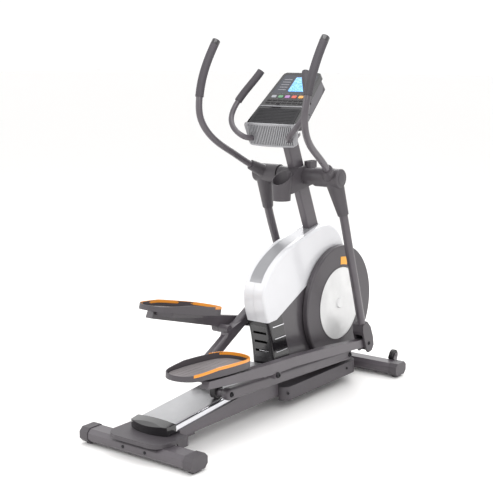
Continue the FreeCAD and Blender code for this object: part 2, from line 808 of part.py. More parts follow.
def console_grille():
    """Louvred speaker and fan grille below the shelf, bowed toward the user."""
    top = CONSOLE_LOW_HALF + 14
    bottom = top - 22
    low = -GRILLE_HEIGHT
    high = GRILLE_RISE
    body = section([(-bottom, low), (bottom, low), (top, high), (-top, high)], -60, 60)
    body = rounded(body, 18.0, vec(1, 0, 0))
    bow = 640.0
    face = Part.makeCylinder(bow, 200, vec(bow - 14, 0, -150), vec(0, 0, 1))
    core = Part.makeCylinder(
        bow - GRILLE_DEPTH, 200, vec(bow - 14, 0, -150), vec(0, 0, 1)
    )
    body = body.common(face).cut(core)
    slots = []
    pitch = 2 * (bottom - 8) / GRILLE_SLOTS
    for index in range(GRILLE_SLOTS):
        y = (index - (GRILLE_SLOTS - 1) / 2) * pitch
        slots.append(block(-80, 90, y - 2.2, y + 2.2, low + 8, high - 8))
    body = body.cut(Part.makeCompound(slots))
    body.rotate(vec(0, 0, 0), vec(0, 1, 0), -16)
    x = CONSOLE_X + CONSOLE_FACE * math.sin(math.radians(CONSOLE_ANGLE))
    z = CONSOLE_Z - CONSOLE_FACE * math.cos(math.radians(CONSOLE_ANGLE))
    body.translate(vec(x - 14, 0, z))
    inset = -SEAT
    housing = face_plate(0, CONSOLE_LENGTH, inset, -CONSOLE_FACE - SEAT, 60, 22.0)
    lip = on_console(housing.fuse(block(-SEAT, 60, -138, 138, -CONSOLE_FACE - SEAT, 60)))
    arm = swept(fixed_bar_curve(), 0.0, 0.985, FIXED_BAR_RADIUS + CLEAR)
    return largest(cut(body, [lip, arm, mirrored(arm)]))


# --- shroud -----------------------------------------------------------------
SHELL = 3.0
SPINE_HALF_WIDTH = 34.0
SHROUD_GAP = 0.3
SHROUD_ROUND = 14.0
SPLIT_REAR_Z = 428.0      # where white shell meets dark shell at the back
SPLIT_FRONT_Z = 545.0


def shroud_body(half, inset):
    """Drive housing: one smooth curve over the drive, flat underneath."""
    middle = 330.0
    outline = [
        (50, COVER_TOP),
        (38, 210),
        (4, 380),
        (-30, 470),
        (-42, 540),
        (-14, 632),
        (64, 704),
        (200, 766),
        (360, 806),
        (490, 828),
        (590, 790),
        (664, 690),
        (696, 560),
        (700, 400),
        (686, 240),
        (640, COVER_TOP),
    ]
    shrink_x = 1 - inset / (middle + 42)
    shrink_z = 1 - inset / (828 - COVER_TOP)
    points = []
    for x, z in outline:
        px = middle + (x - middle) * shrink_x
        points.append(vec(px, -half, COVER_TOP + (z - COVER_TOP) * shrink_z))
    curve = tube_path([tuple(point) for point in points])
    closing = Part.LineSegment(points[-1], points[0]).toShape()
    face = Part.Face(Part.Wire([curve.toShape(), closing]))
    return face.extrude(vec(0, 2 * half, 0))


def soft_sided(body, half, radius):
    edges = []
    for edge in body.Edges:
        middle = edge.CenterOfMass
        if abs(abs(middle.y) - half) < 0.5 and middle.z > COVER_TOP + 1:
            edges.append(edge)
    return body.makeFillet(radius, edges)


def split_region(upper, y0, y1):
    """Region above or below the slanted joint between the two shell colours."""
    rear = (-200.0, SPLIT_REAR_Z - 22)
    mid = (60.0, SPLIT_REAR_Z - 4)
    front = (310.0, SPLIT_FRONT_Z)
    far = (900.0, SPLIT_FRONT_Z + 120)
    gap = SHROUD_GAP / 2
    if upper:
        edge = [(rear[0], rear[1] + gap), (mid[0], mid[1] + gap),
                (front[0], front[1] + gap), (far[0], far[1] + gap)]
        return prism(edge + [(900.0, 1100.0), (-200.0, 1100.0)], y0, y1)
    edge = [(rear[0], rear[1] - gap), (mid[0], mid[1] - gap),
            (front[0], front[1] - gap), (far[0], far[1] - gap)]
    return prism(edge + [(900.0, COVER_TOP), (-200.0, COVER_TOP)], y0, y1)


def shroud_parts():
    w = SHROUD_HALF_WIDTH
    outer = shroud_body(w, 0.0)
    outer = soft_sided(shroud_body(w, 0.0), w, SHROUD_ROUND)
    inner = soft_sided(shroud_body(w - SHELL, SHELL), w - SHELL, SHROUD_ROUND - SHELL)
    shell = outer.cut(inner)
    hole = post(-400, 100, UPRIGHT_DEPTH / 2 + CLEAR, UPRIGHT_WIDTH / 2 + CLEAR)
    axle = rod(CRANK_X, CRANK_Z, -80, 80, AXLE_RADIUS + 12)
    shell = shell.cut(hole).cut(axle)
    gap = SHROUD_GAP / 2
    right = block(-300, 900, -200, -gap, 0, 1200)
    left = block(-300, 900, gap, 200, 0, 1200)
    spine_zone = spine_region(SPINE_HALF_WIDTH)
    parts = {}
    upper = shell.common(split_region(True, -100, 100))
    lower = shell.common(split_region(False, -100, 100))
    parts["shroud_spine"] = upper.common(spine_zone)
    sides = upper.cut(spine_region(SPINE_HALF_WIDTH + SHROUD_GAP))
    parts["shroud_upper_right"] = sides.common(right)
    parts["shroud_upper_left"] = sides.common(left)
    vent_zone = block(-60, 96, -VENT_HALF, VENT_HALF, 235, 398)
    parts["vent_panel"] = vent_panel(lower.common(vent_zone))
    rest = lower.cut(grown_vent_zone())
    parts["shroud_lower_right"] = rest.common(right)
    parts["shroud_lower_left"] = rest.common(left)
    return parts


VENT_HALF = 46.0


def grown_vent_zone():
    g = SHROUD_GAP
    half = VENT_HALF + g
    return block(-60, 96 + g, -half, half, 235 - g, 398 + g)


def vent_panel(panel):
    """Glossy rear grille of the drive housing with three louvre openings."""
    slots = []
    for index in range(3):
        z = 262.0 + 46.0 * index
        slots.append(block(-80, 96, -VENT_HALF + 8, VENT_HALF - 8, z, z + 12))
    return panel.cut(Part.makeCompound(slots))


def spine_region(half):
    """Band over the top and back that takes the silver strip."""
    return block(-52, 566, -half, half, 612, 900)


# --- crank ------------------------------------------------------------------
DISC_RADIUS = 298.0
INSERT_RADIUS = 186.0
INSERT_RECESS = 9.0
PULLEY_RADIUS = 110.0
PULLEY_INNER = 4.0
PULLEY_OUTER = 20.0
PIN_RADIUS = 14.0


def crank_disc(side):
    """Round crank cover with its pin boss, around a dished insert."""
    pin = crank_pin(side)
    disc = rod(CRANK_X, CRANK_Z, -DISC_OUTER, -DISC_INNER, DISC_RADIUS)
    edges = [e for e in disc.Edges if abs(e.CenterOfMass.y + DISC_OUTER) < 0.1]
    disc = disc.makeFillet(8.0, edges)
    tools = [
        rod(CRANK_X, CRANK_Z, -DISC_OUTER, -DISC_OUTER + INSERT_RECESS,
            INSERT_RADIUS + SEAT),
        rod(CRANK_X, CRANK_Z, -DISC_INNER - 14, -DISC_INNER, DISC_RADIUS - 16),
        rod(CRANK_X, CRANK_Z, -DISC_OUTER, -DISC_INNER, AXLE_RADIUS + RUNNING),
    ]
    disc = cut(disc, tools)
    stub = rod(pin[0], pin[1], -ARM_INNER + CLEAR, -DISC_OUTER + 2, PIN_RADIUS)
    shape = fuse([disc, stub])
    return shape if side < 0 else mirrored(shape)


def disc_insert():
    """Shallow silver dish in the face of the disc."""
    y0 = -DISC_OUTER + INSERT_RECESS
    dish = rod(CRANK_X, CRANK_Z, y0 - 7, y0, INSERT_RADIUS)
    ball = 2600.0
    hollow = Part.makeSphere(ball, vec(CRANK_X, y0 - 4 - ball, CRANK_Z))
    return dish.cut(hollow)


def crank_parts():
    reach = DISC_OUTER - INSERT_RECESS - SEAT
    axle = rod(CRANK_X, CRANK_Z, -reach, reach, AXLE_RADIUS)
    collar = rod(CRANK_X, CRANK_Z, DISC_INNER - 18, DISC_INNER, AXLE_RADIUS + 8)
    pulley = rod(CRANK_X, CRANK_Z, PULLEY_INNER, PULLEY_OUTER, PULLEY_RADIUS)
    web = rod(CRANK_X, CRANK_Z, PULLEY_INNER + 5, PULLEY_OUTER, PULLEY_RADIUS - 14)
    hub = rod(CRANK_X, CRANK_Z, PULLEY_INNER, PULLEY_OUTER + 4, 24.0)
    pulley = fuse([pulley.cut(web), hub])
    pulley = pulley.cut(rod(CRANK_X, CRANK_Z, 0, 40, AXLE_RADIUS + RUNNING))
    return {
        "crank_axle": fuse([axle, collar, mirrored(collar)]),
        "drive_pulley": pulley,
        "crank_disc_right": crank_disc(-1),
        "crank_disc_left": crank_disc(1),
        "disc_insert": pair(disc_insert()),
    }


def flywheel():
    """Cast rim and web, with the small belt pulley beside it on one axle."""
    x = FLYWHEEL_X
    z = FLYWHEEL_Z
    rim = rod(x, z, -20, -2, FLYWHEEL_RADIUS)
    rim = rim.cut(rod(x, z, -20, -14, FLYWHEEL_RADIUS - 26))
    axle = rod(x, z, -40, 40, FLYWHEEL_AXLE)
    small = rod(x, z, -2, PULLEY_OUTER, PULLEY_RADIUS / BELT_RATIO)
    hub = rod(x, z, -20, -2, 22.0)
    return fuse([rim, axle, small, hub])


BELT_RATIO = 7.5


# --- swing arms -------------------------------------------------------------
def swing_angle(side):
    foot = linkage(side)[3]
    return math.degrees(math.atan2(foot[0] - SWING_X, SWING_Z - foot[1]))


def place_swing(shape, side):
    """Pieces drawn at mid stroke about the handlebar axle, turned to rest."""
    return place(shape, side, (SWING_X, SWING_Z), swing_angle(side) - SWING_NEUTRAL)


def leg_point(along, bow, y):
    angle = math.radians(SWING_NEUTRAL)
    x = along * math.sin(angle) + bow * math.cos(angle)
    return x, y, -along * math.cos(angle) + bow * math.sin(angle)


def leg_curve():
    y = (PEDAL_ARM_INNER + PEDAL_ARM_OUTER) / 2
    points = [
        leg_point(70, -4, -y - 29),
        leg_point(190, -12, -y - 37),
        leg_point(360, -18, -y - 37),
        leg_point(540, -20, -y - 34),
        leg_point(700, -13, -y - 24),
        leg_point(SWING_LENGTH - 108, 2, -y - 9),
    ]
    return tube_path(points)


def bar_curve():
    points = [
        (-36, -200, 20),
        (-66, -214, 36),
        (-200, -243, 116),
        (-330, -268, 204),
        (-386, -290, 300),
        (-380, -298, 392),
        (-335, -300, 516),
        (-245, -296, 652),
    ]
    return tube_path(points)


def swing_hub():
    """Turning hub on the axle, with the sockets of handlebar and leg."""
    body = rod(0, 0, -HUB_OUTER, -HUB_INNER, HUB_RADIUS)
    edges = [e for e in body.Edges if abs(e.CenterOfMass.y + HUB_OUTER) < 0.1]
    body = body.makeFillet(6.0, edges)
    bars = bar_curve()
    legs = leg_curve()
    start = vec(-8, -190, 4)
    toward = vec(-66, -214, 36).sub(start)
    upper = Part.makeCone(36.0, 25.0, 96.0, start, toward)
    top = vec(*leg_point(0, 0, -204))
    low = vec(*leg_point(190, -12, -228))
    lower = Part.makeCone(45.0, 27.0, low.sub(top).Length, top, low.sub(top))
    shape = fuse([body, upper, lower])
    tools = [
        rod(0, 0, -HUB_OUTER + 10, -HUB_INNER, PIVOT_RADIUS + RUNNING),
        swept(bars, 0.0, 0.5, BAR_RADIUS + SEAT),
        swept(legs, 0.0, 0.6, LEG_RADIUS + SEAT),
    ]
    return cut(shape, tools)


def swing_handlebar():
    return swept(bar_curve(), 0.03, 0.99, BAR_RADIUS)


def swing_grip():
    curve = bar_curve()
    outer = swept(curve, 0.66, 1.0, GRIP_RADIUS)
    inner = swept(curve, 0.66, 0.991, BAR_RADIUS + SEAT)
    return outer.cut(inner)


def swing_leg():
    curve = leg_curve()
    tube = swept(curve, 0.0, 1.0, LEG_RADIUS)
    core = swept(curve, 0.0, 0.97, LEG_INNER_RADIUS)
    clear = rod(0, 0, -HUB_OUTER, 0, HUB_RADIUS - 8)
    return tube.cut(core).cut(clear)


def leg_fork():
    """Moulded fork at the foot of the leg, open to the rear."""
    angle = SWING_NEUTRAL
    y0 = -PEDAL_ARM_OUTER - 14
    y1 = -ARM_OUTER - 2 * CLEAR
    outline = [
        (-20, 118), (22, 118), (44, 74), (48, 10), (40, -34),
        (14, -52), (-18, -46), (-30, -16), (-30, 44), (-32, 84),
    ]
    fork = prism(outline, y0, y1)
    slot = [
        (-80, 62), (14, 66), (28, 40), (30, -16), (16, -36), (-20, -80), (-80, -80)
    ]
    fork = fork.cut(
        prism(slot, -PEDAL_ARM_OUTER - 2.5, -PEDAL_ARM_INNER + 2.5)
    )
    pin = rod(0, 0, y0 + 4, y1 - 4, 9.0)
    fork = fuse([fork, pin])
    fork.rotate(vec(0, 0, 0), vec(0, 1, 0), -angle)
    foot = leg_point(SWING_LENGTH, 0, 0)
    fork.translate(vec(foot[0], 0, foot[2]))
    return fork.cut(swept(leg_curve(), 0.5, 1.0, LEG_RADIUS + SEAT))


# --- roller arms ------------------------------------------------------------
ROLLER_ARM_HEIGHT = 56.0
ARM_WALL = 4.0
PIVOT_BOSS = 20.0


def roller_arm():
    """Drawn along +X from the roller axle at the origin."""
    length = ROLLER_ARM_LENGTH
    tube = bar(0, 0, length, 0, -ARM_OUTER, -ARM_INNER, ROLLER_ARM_HEIGHT)
    edges = []
    for edge in tube.Edges:
        if edge.Curve.TypeId == "Part::GeomLine" and edge.Length > length / 2:
            edges.append(edge)
    tube = tube.makeFillet(14.0, edges)
    wall = ARM_WALL
    tube = tube.cut(
        bar(30, 0, length - 40, 0, -ARM_OUTER + wall, -ARM_INNER - wall,
            ROLLER_ARM_HEIGHT - 28)
    )
    gusset = [
        (PEDAL_PIVOT_ALONG - 40, 20), (PEDAL_PIVOT_ALONG - 18, PEDAL_PIVOT_RISE - 4),
        (PEDAL_PIVOT_ALONG + 18, PEDAL_PIVOT_RISE - 4), (PEDAL_PIVOT_ALONG + 90, 20),
    ]
    lug = prism(gusset, -ARM_OUTER + 4, -ARM_INNER + 4)
    boss = rod(
        PEDAL_PIVOT_ALONG, PEDAL_PIVOT_RISE, -PEDAL_ARM_INNER + CLEAR, -ARM_INNER,
        PIVOT_BOSS,
    )
    pin = rod(
        PEDAL_PIVOT_ALONG, PEDAL_PIVOT_RISE, -PEDAL_ARM_OUTER - 3, -ARM_INNER, 9.0
    )
    spindle = rod(0, 0, -ARM_INNER, -ROLLER_INNER + 4, 9.0)
    ribs = [rod(0, 0, -ARM_INNER, -ROLLER_OUTER - CLEAR, 19.0)]
    shape = fuse([tube, lug, boss, pin, spindle] + ribs)
    bore = rod(length, 0, -ARM_INNER - 30, -ARM_INNER, PIN_RADIUS + 1.0)
    return shape.cut(bore)


def ramp_roller():
    tyre = rod(0, 0, -ROLLER_OUTER, -ROLLER_INNER, ROLLER_RADIUS)
    tyre = tyre.makeFillet(4.0, tyre.Edges[:1] + tyre.Edges[2:3])
    return tyre.cut(rod(0, 0, -ROLLER_OUTER, -ROLLER_INNER, 9.0 + RUNNING))


# --- pedal arms -------------------------------------------------------------
PEDAL_ARM_HEIGHT = 48.0
PEDAL_LENGTH = 456.0
PEDAL_WIDTH = 204.0
PEDAL_BACK = 390.0            # pedal centre, behind the pivot
PEDAL_RISE = 91.0            # pedal floor above the pivot line
PEDAL_TILT = -2.0
PEDAL_RIM = 34.0
PEDAL_FLOOR = 6.0
ARM_RISE = 34.0               # pedal-arm bar above the pivot line at its rear


def pedal_arm():
    """Drawn along +X from the pedal pivot at the origin to the leg pivot."""
    length = PEDAL_ARM_LENGTH
    half = PEDAL_ARM_HEIGHT / 2
    outline = [
        (length, half - 4), (length * 0.6, ARM_RISE * 0.55 + half),
        (length * 0.2, ARM_RISE + half), (-40, ARM_RISE + half + 4),
        (-PEDAL_BACK - 110, PEDAL_RISE - 12), (-PEDAL_BACK - 120, PEDAL_RISE - 44),
        (-60, ARM_RISE - half), (length * 0.2, ARM_RISE - half),
        (length * 0.6, ARM_RISE * 0.55 - half), (length, -half + 4),
    ]
    body = prism(outline, -PEDAL_ARM_OUTER, -PEDAL_ARM_INNER)
    inside = half - ARM_WALL
    core = [
        (length - 60, inside - 6), (length * 0.6, ARM_RISE * 0.55 + inside),
        (length * 0.2, ARM_RISE + inside), (40, ARM_RISE + inside),
        (40, ARM_RISE - inside), (length * 0.2, ARM_RISE - inside),
        (length * 0.6, ARM_RISE * 0.55 - inside), (length - 60, 6 - inside),
    ]
    body = body.cut(
        prism(core, -PEDAL_ARM_OUTER + ARM_WALL, -PEDAL_ARM_INNER - ARM_WALL)
    )
    nose = rod(length, 0, -PEDAL_ARM_OUTER, -PEDAL_ARM_INNER, half - 4)
    lug = rod(0, 0, -PEDAL_ARM_OUTER, -PEDAL_ARM_INNER, PIVOT_BOSS + 1)
    web = block(-20, 24, -PEDAL_ARM_OUTER, -PEDAL_ARM_INNER, 0, ARM_RISE)
    cross = block(
        -PEDAL_BACK - 100, -PEDAL_BACK + 110, -PEDAL_ARM_INNER - 6, -PEDAL_CENTRE + 46,
        PEDAL_RISE - 26, PEDAL_RISE,
    )
    for y in (-PEDAL_ARM_INNER + 26, -PEDAL_CENTRE + 6):
        pocket = block(
            -PEDAL_BACK - 92, -PEDAL_BACK + 102, y - 18, y + 18,
            PEDAL_RISE - 27, PEDAL_RISE - 12,
        )
        cross = cross.cut(pocket)
    shape = fuse([body, nose, lug, web, cross])
    tools = [
        rod(0, 0, -PEDAL_ARM_OUTER - 1, -PEDAL_ARM_INNER + 1, 9.0 + RUNNING),
        rod(length, 0, -PEDAL_ARM_OUTER - 1, -PEDAL_ARM_INNER + 1, 9.0 + RUNNING),
        pedal_frame_block(),
    ]
    return cut(shape, tools)


def on_pedal(shape):
    shape.rotate(vec(0, 0, 0), vec(0, 1, 0), -PEDAL_TILT)
    shape.translate(vec(-PEDAL_BACK, -PEDAL_CENTRE, PEDAL_RISE))
    return shape


def pedal_frame_block():
    """Everything above the pedal underside."""
    return on_pedal(block(-400, 330, -200, 200, -PEDAL_FLOOR, 200))


def pedal_outline(inset, z0, z1):
    half_l = PEDAL_LENGTH / 2 - inset
    half_w = PEDAL_WIDTH / 2 - inset
    upper = [
        (half_l, half_w * 0.30),
        (half_l * 0.88, half_w * 0.76),
        (half_l * 0.52, half_w * 0.98),
        (0, half_w),
        (-half_l * 0.56, half_w * 0.90),
        (-half_l * 0.89, half_w * 0.66),
        (-half_l, half_w * 0.26),
    ]
    points = upper + [(x, -y) for x, y in reversed(upper)]
    curve = Part.BSplineCurve()
    curve.interpolate(Points=[vec(x, y, z0) for x, y in points], PeriodicFlag=True)
    face = Part.Face(Part.Wire(curve.toShape()))
    return face.extrude(vec(0, 0, z1 - z0))


def pedal_tray():
    """Foot plate with a raised rim, lower toward the heel."""
    body = pedal_outline(0, -PEDAL_FLOOR, PEDAL_RIM)
    body = body.cut(pedal_outline(6, 0, PEDAL_RIM + 1))
    heel = [
        (-PEDAL_LENGTH, 16), (-PEDAL_LENGTH / 2, 16), (-PEDAL_LENGTH * 0.1, PEDAL_RIM),
        (-PEDAL_LENGTH * 0.1, PEDAL_RIM * 3), (-PEDAL_LENGTH, PEDAL_RIM * 3),
    ]
    body = body.cut(prism(heel, -200, 200))
    return on_pedal(body)


def pedal_insert():
    """Cushioned foot pad with ribs across it."""
    pad = pedal_outline(12, 0, 9)
    grooves = []
    for index in range(17):
        x = -176 + 22 * index
        grooves.append(block(x - 1.5, x + 1.5, -200, 200, 6.5, 12))
    return on_pedal(pad.cut(Part.makeCompound(grooves)))


# --- power inlet ------------------------------------------------------------
def power_inlet():
    """Recessed low-voltage socket low on the front of the housing."""
    x = COVER_FRONT
    body = block(x, x + 5, 92, 124, 70, 94)
    body = rounded(body, 4.0, vec(1, 0, 0))
    pocket = Part.makeCylinder(6.5, 20, vec(x + 1, 108, 82), vec(1, 0, 0))
    pin = Part.makeCylinder(1.5, 4, vec(x + 0.5, 108, 82), vec(1, 0, 0))
    return fuse([body.cut(pocket), pin])


def swing_parts(side, name):
    return {
        "swing_hub_" + name: place_swing(swing_hub(), side),
        "swing_handlebar_" + name: place_swing(swing_handlebar(), side),
        "swing_grip_" + name: place_swing(swing_grip(), side),
        "swing_leg_" + name: place_swing(swing_leg(), side),
        "leg_fork_" + name: place_swing(leg_fork(), side),
    }


def link_parts(side, name):
    pin, axle, pivot, foot = linkage(side)
    arm = math.degrees(math.atan2(pin[1] - axle[1], pin[0] - axle[0]))
    pedal = math.degrees(math.atan2(foot[1] - pivot[1], foot[0] - pivot[0]))
    return {
        "roller_arm_" + name: place(roller_arm(), side, axle, arm),
        "ramp_roller_" + name: place(ramp_roller(), side, axle, 0.0),
        "pedal_arm_" + name: place(pedal_arm(), side, pivot, pedal),
        "pedal_tray_" + name: place(pedal_tray(), side, pivot, pedal),
        "pedal_insert_" + name: place(pedal_insert(), side, pivot, pedal),
    }


def build():
    parts = {}
    parts.update(floor_parts())
    parts["transport_wheel_right"] = wheel(-1)
    parts["transport_wheel_left"] = wheel(1)
    parts["base_frame"] = base_frame()
    parts["base_cover"] = base_cover()
    parts["rear_base_cover"] = rear_base_cover()
    parts.update(ramp_parts())
    parts["upright"] = upright()
    parts["pivot_axle"] = pivot_axle()
    parts["cup_holder"] = cup_holder()
    parts["fixed_handlebar"] = fixed_handlebar()
    parts["pulse_grip"] = pair(pulse_grip())
    parts["console_housing"] = console_housing()
    parts["console_back"] = console_back()
    parts["console_side_cover"] = pair(console_side_cover())
    parts["console_grille"] = console_grille()
    parts["display_lens"] = display_lens()
    parts["shelf_pad"] = shelf_pad()
    for index in range(KEY_COUNT):
        parts["console_key_" + str(index + 1)] = console_key(index)
    parts.update(shroud_parts())
    parts.update(crank_parts())
    parts["flywheel"] = flywheel()
    parts["power_inlet"] = power_inlet()
    for side, name in ((-1, "right"), (1, "left")):
        parts.update(swing_parts(side, name))
        parts.update(link_parts(side, name))
    return parts


os.makedirs("parts", exist_ok=True)
for node, shape in build().items():
    shape.exportStep("parts/" + node + ".step")
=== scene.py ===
import json
import math
import bpy
import bmesh
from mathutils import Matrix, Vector
from mathutils.bvhtree import BVHTree


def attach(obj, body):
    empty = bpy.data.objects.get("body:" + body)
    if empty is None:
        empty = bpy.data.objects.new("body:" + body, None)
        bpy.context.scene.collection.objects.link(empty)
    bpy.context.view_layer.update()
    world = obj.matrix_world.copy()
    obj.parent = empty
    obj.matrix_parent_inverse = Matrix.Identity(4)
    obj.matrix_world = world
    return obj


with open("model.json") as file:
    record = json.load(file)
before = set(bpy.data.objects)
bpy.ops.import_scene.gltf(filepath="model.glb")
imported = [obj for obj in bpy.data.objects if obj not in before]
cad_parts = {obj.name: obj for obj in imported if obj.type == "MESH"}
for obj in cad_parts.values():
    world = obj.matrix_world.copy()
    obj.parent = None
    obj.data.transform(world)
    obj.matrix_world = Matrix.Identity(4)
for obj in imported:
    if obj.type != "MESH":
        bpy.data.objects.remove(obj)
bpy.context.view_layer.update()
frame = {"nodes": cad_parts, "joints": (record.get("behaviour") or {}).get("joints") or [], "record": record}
NODES = frame["nodes"]
JOINTS = {}
for joint in frame["joints"]:
    JOINTS[joint["name"]] = Vector(joint.get("pos_m", (0, 0, 0)))

# --- sizes shared with the CAD part, in metres --------------------------------
CRANK = JOINTS["crank"]
ROLLER_ARM_LENGTH = 0.990
PEDAL_PIVOT_ALONG = 0.280
PEDAL_PIVOT_RISE = 0.042
PEDAL_BACK = 0.390
PEDAL_RISE = 0.091
PEDAL_TILT = math.radians(-2)
PEDAL_CENTRE = 0.114
INSERT_TOP = 0.009
ARM_OUTER = 0.161
PEDAL_ARM_OUTER = 0.210
DISC_OUTER = 0.098
INSERT_RADIUS = 0.186
STABILIZER_REAR = -0.882
STABILIZER_TOP = 0.073
BEVEL = 0.017
CONSOLE_ANGLE = math.radians(40)
CONSOLE_ORIGIN = Vector((0.084, 0, 1.348))
SIDES = (("right", -1), ("left", 1))


# --- materials ----------------------------------------------------------------
MOTTLE_SCALE = 9.0
MOTTLE_DETAIL = 5.0
MOTTLE_RANGE = (0.3, 0.7)
GRAIN_DETAIL = 3.0
COAT_ROUGHNESS = 0.08
ROUGHNESS_SPREAD = 0.06
ROUGHNESS_LEAST = 0.02
BUMP_GAIN = 6
BUMP_DISTANCE = 0.0004
BEVEL_SAMPLES = 3
GLOSS_SLOPE = 0.32                              # lean of the line where the lower shell turns glossy
GLOSS_LEVEL = 0.2396
LCD_CELLS = 60.0
LCD_GAP = 0.03
LCD_GLOW = 0.5


def linear(r, g, b):
    """sRGB 0-255 to the linear colour that the shader takes."""
    out = []
    for value in (r, g, b):
        share = value / 255
        out.append(share / 12.92 if share <= 0.04045 else ((share + 0.055) / 1.055) ** 2.4)
    return (*out, 1.0)


def material(name, colour, roughness, metallic=0.0, coat=0.0, grain=900.0, depth=0.03,
             mottle=0.08, edge=0.0012, specular=0.5):
    """Moulded or painted surface: fine grain in bump, faint mottling in colour and roughness."""
    mat = bpy.data.materials.new(name)
    mat.use_nodes = True
    tree = mat.node_tree
    links = tree.links
    shader = tree.nodes["Principled BSDF"]
    shader.inputs["Metallic"].default_value = metallic
    shader.inputs["Coat Weight"].default_value = coat
    shader.inputs["Coat Roughness"].default_value = COAT_ROUGHNESS
    shader.inputs["Specular IOR Level"].default_value = specular
    place = tree.nodes.new("ShaderNodeTexCoord")
    broad = tree.nodes.new("ShaderNodeTexNoise")
    broad.inputs["Scale"].default_value = MOTTLE_SCALE
    broad.inputs["Detail"].default_value = MOTTLE_DETAIL
    links.new(place.outputs["Object"], broad.inputs["Vector"])
    ramp = tree.nodes.new("ShaderNodeValToRGB")
    low = [c * (1 - mottle) for c in colour[:3]] + [1.0]
    high = [min(1.0, c * (1 + mottle)) for c in colour[:3]] + [1.0]
    ramp.color_ramp.elements[0].color = low
    ramp.color_ramp.elements[1].color = high
    ramp.color_ramp.elements[0].position = MOTTLE_RANGE[0]
    ramp.color_ramp.elements[1].position = MOTTLE_RANGE[1]
    links.new(broad.outputs["Fac"], ramp.inputs["Fac"])
    links.new(ramp.outputs["Color"], shader.inputs["Base Color"])
    fine = tree.nodes.new("ShaderNodeTexNoise")
    fine.inputs["Scale"].default_value = grain
    fine.inputs["Detail"].default_value = GRAIN_DETAIL
    links.new(place.outputs["Object"], fine.inputs["Vector"])
    spread = tree.nodes.new("ShaderNodeMapRange")
    spread.inputs["To Min"].default_value = max(ROUGHNESS_LEAST, roughness - ROUGHNESS_SPREAD)
    spread.inputs["To Max"].default_value = roughness + ROUGHNESS_SPREAD
    links.new(broad.outputs["Fac"], spread.inputs["Value"])
    links.new(spread.outputs["Result"], shader.inputs["Roughness"])
    bump = tree.nodes.new("ShaderNodeBump")
    bump.inputs["Strength"].default_value = depth * BUMP_GAIN
    bump.inputs["Distance"].default_value = BUMP_DISTANCE
    links.new(fine.outputs["Fac"], bump.inputs["Height"])
    if edge:
        soft = tree.nodes.new("ShaderNodeBevel")
        soft.samples = BEVEL_SAMPLES
        soft.inputs["Radius"].default_value = edge
        links.new(soft.outputs["Normal"], bump.inputs["Normal"])
    links.new(bump.outputs["Normal"], shader.inputs["Normal"])
    return mat


def brushed(name, colour, roughness, along, metallic=1.0):
    """Metal with fine streaks along one axis."""
    mat = material(name, colour, roughness, metallic=metallic, edge=0.001)
    tree = mat.node_tree
    fine = [n for n in tree.nodes if n.type == "TEX_NOISE"][1]
    stretch = tree.nodes.new("ShaderNodeMapping")
    stretch.inputs["Scale"].default_value = along
    place = [n for n in tree.nodes if n.type == "TEX_COORD"][0]
    tree.links.new(place.outputs["Object"], stretch.inputs["Vector"])
    tree.links.new(stretch.outputs["Vector"], fine.inputs["Vector"])
    return mat


PAINT = material("charcoal_paint", linear(80, 75, 80), 0.36, coat=0.25, depth=0.015)
MOULDING = material("charcoal_moulding", linear(71, 67, 71), 0.46, depth=0.06, edge=0.002)
DARK_SHELL = material("dark_shell", linear(70, 66, 70), 0.36, coat=0.3, depth=0.02, edge=0.002)
GLOSS_BLACK = material("gloss_black", linear(26, 24, 27), 0.14, coat=0.8, depth=0.004, edge=0.002)
BLACK = material("black_plastic", linear(36, 34, 36), 0.5, depth=0.07)
FOAM = material("grip_foam", linear(66, 62, 67), 0.6, grain=420.0, depth=0.12, mottle=0.12)
PAD = material("shelf_rubber", linear(34, 33, 36), 0.62, grain=300.0, depth=0.14)
INSERT = material("pedal_rubber", linear(122, 117, 118), 0.62, grain=260.0, depth=0.14)
WHITE = material("pearl_white", linear(214, 214, 217), 0.24, coat=0.6, depth=0.003, mottle=0.015,
                 edge=0.003)
SILVER = material("silver_moulding", linear(150, 150, 153), 0.3, metallic=0.3, depth=0.01,
                  mottle=0.03)
CHROME = brushed("bright_trim", linear(226, 226, 230), 0.09, (2, 60, 60))
RAMP = brushed("ramp_silver", linear(196, 196, 198), 0.3, (1, 30, 30), metallic=0.85)
DISH = brushed("disc_dish", linear(222, 222, 222), 0.34, (1, 1, 1), metallic=0.3)
DISC = material("disc_charcoal", linear(72, 68, 72), 0.38, depth=0.03, edge=0.003)
STEEL = brushed("axle_steel", linear(150, 150, 154), 0.3, (30, 2, 30))
BOLT = material("bolt_black", linear(40, 39, 42), 0.34, metallic=0.7, depth=0.02, edge=0.0005)
IRON = brushed("flywheel_iron", linear(96, 96, 99), 0.42, (20, 1, 20))
ORANGE = material("orange_accent", linear(232, 146, 34), 0.34, coat=0.3, depth=0.01, mottle=0.04)
AMBER = material("amber_tag", linear(238, 170, 62), 0.4, depth=0.02, mottle=0.05)
SCREEN = material("screen_glass", linear(22, 26, 42), 0.08, coat=1.0, depth=0.002)
PRINT = material("print_grey", linear(128, 128, 134), 0.5, depth=0.01)
KEY_COLOURS = {
    "grey": (150, 152, 158), "green": (92, 142, 104), "violet": (168, 122, 176),
    "red": (206, 92, 74), "orange": (232, 164, 78),
}


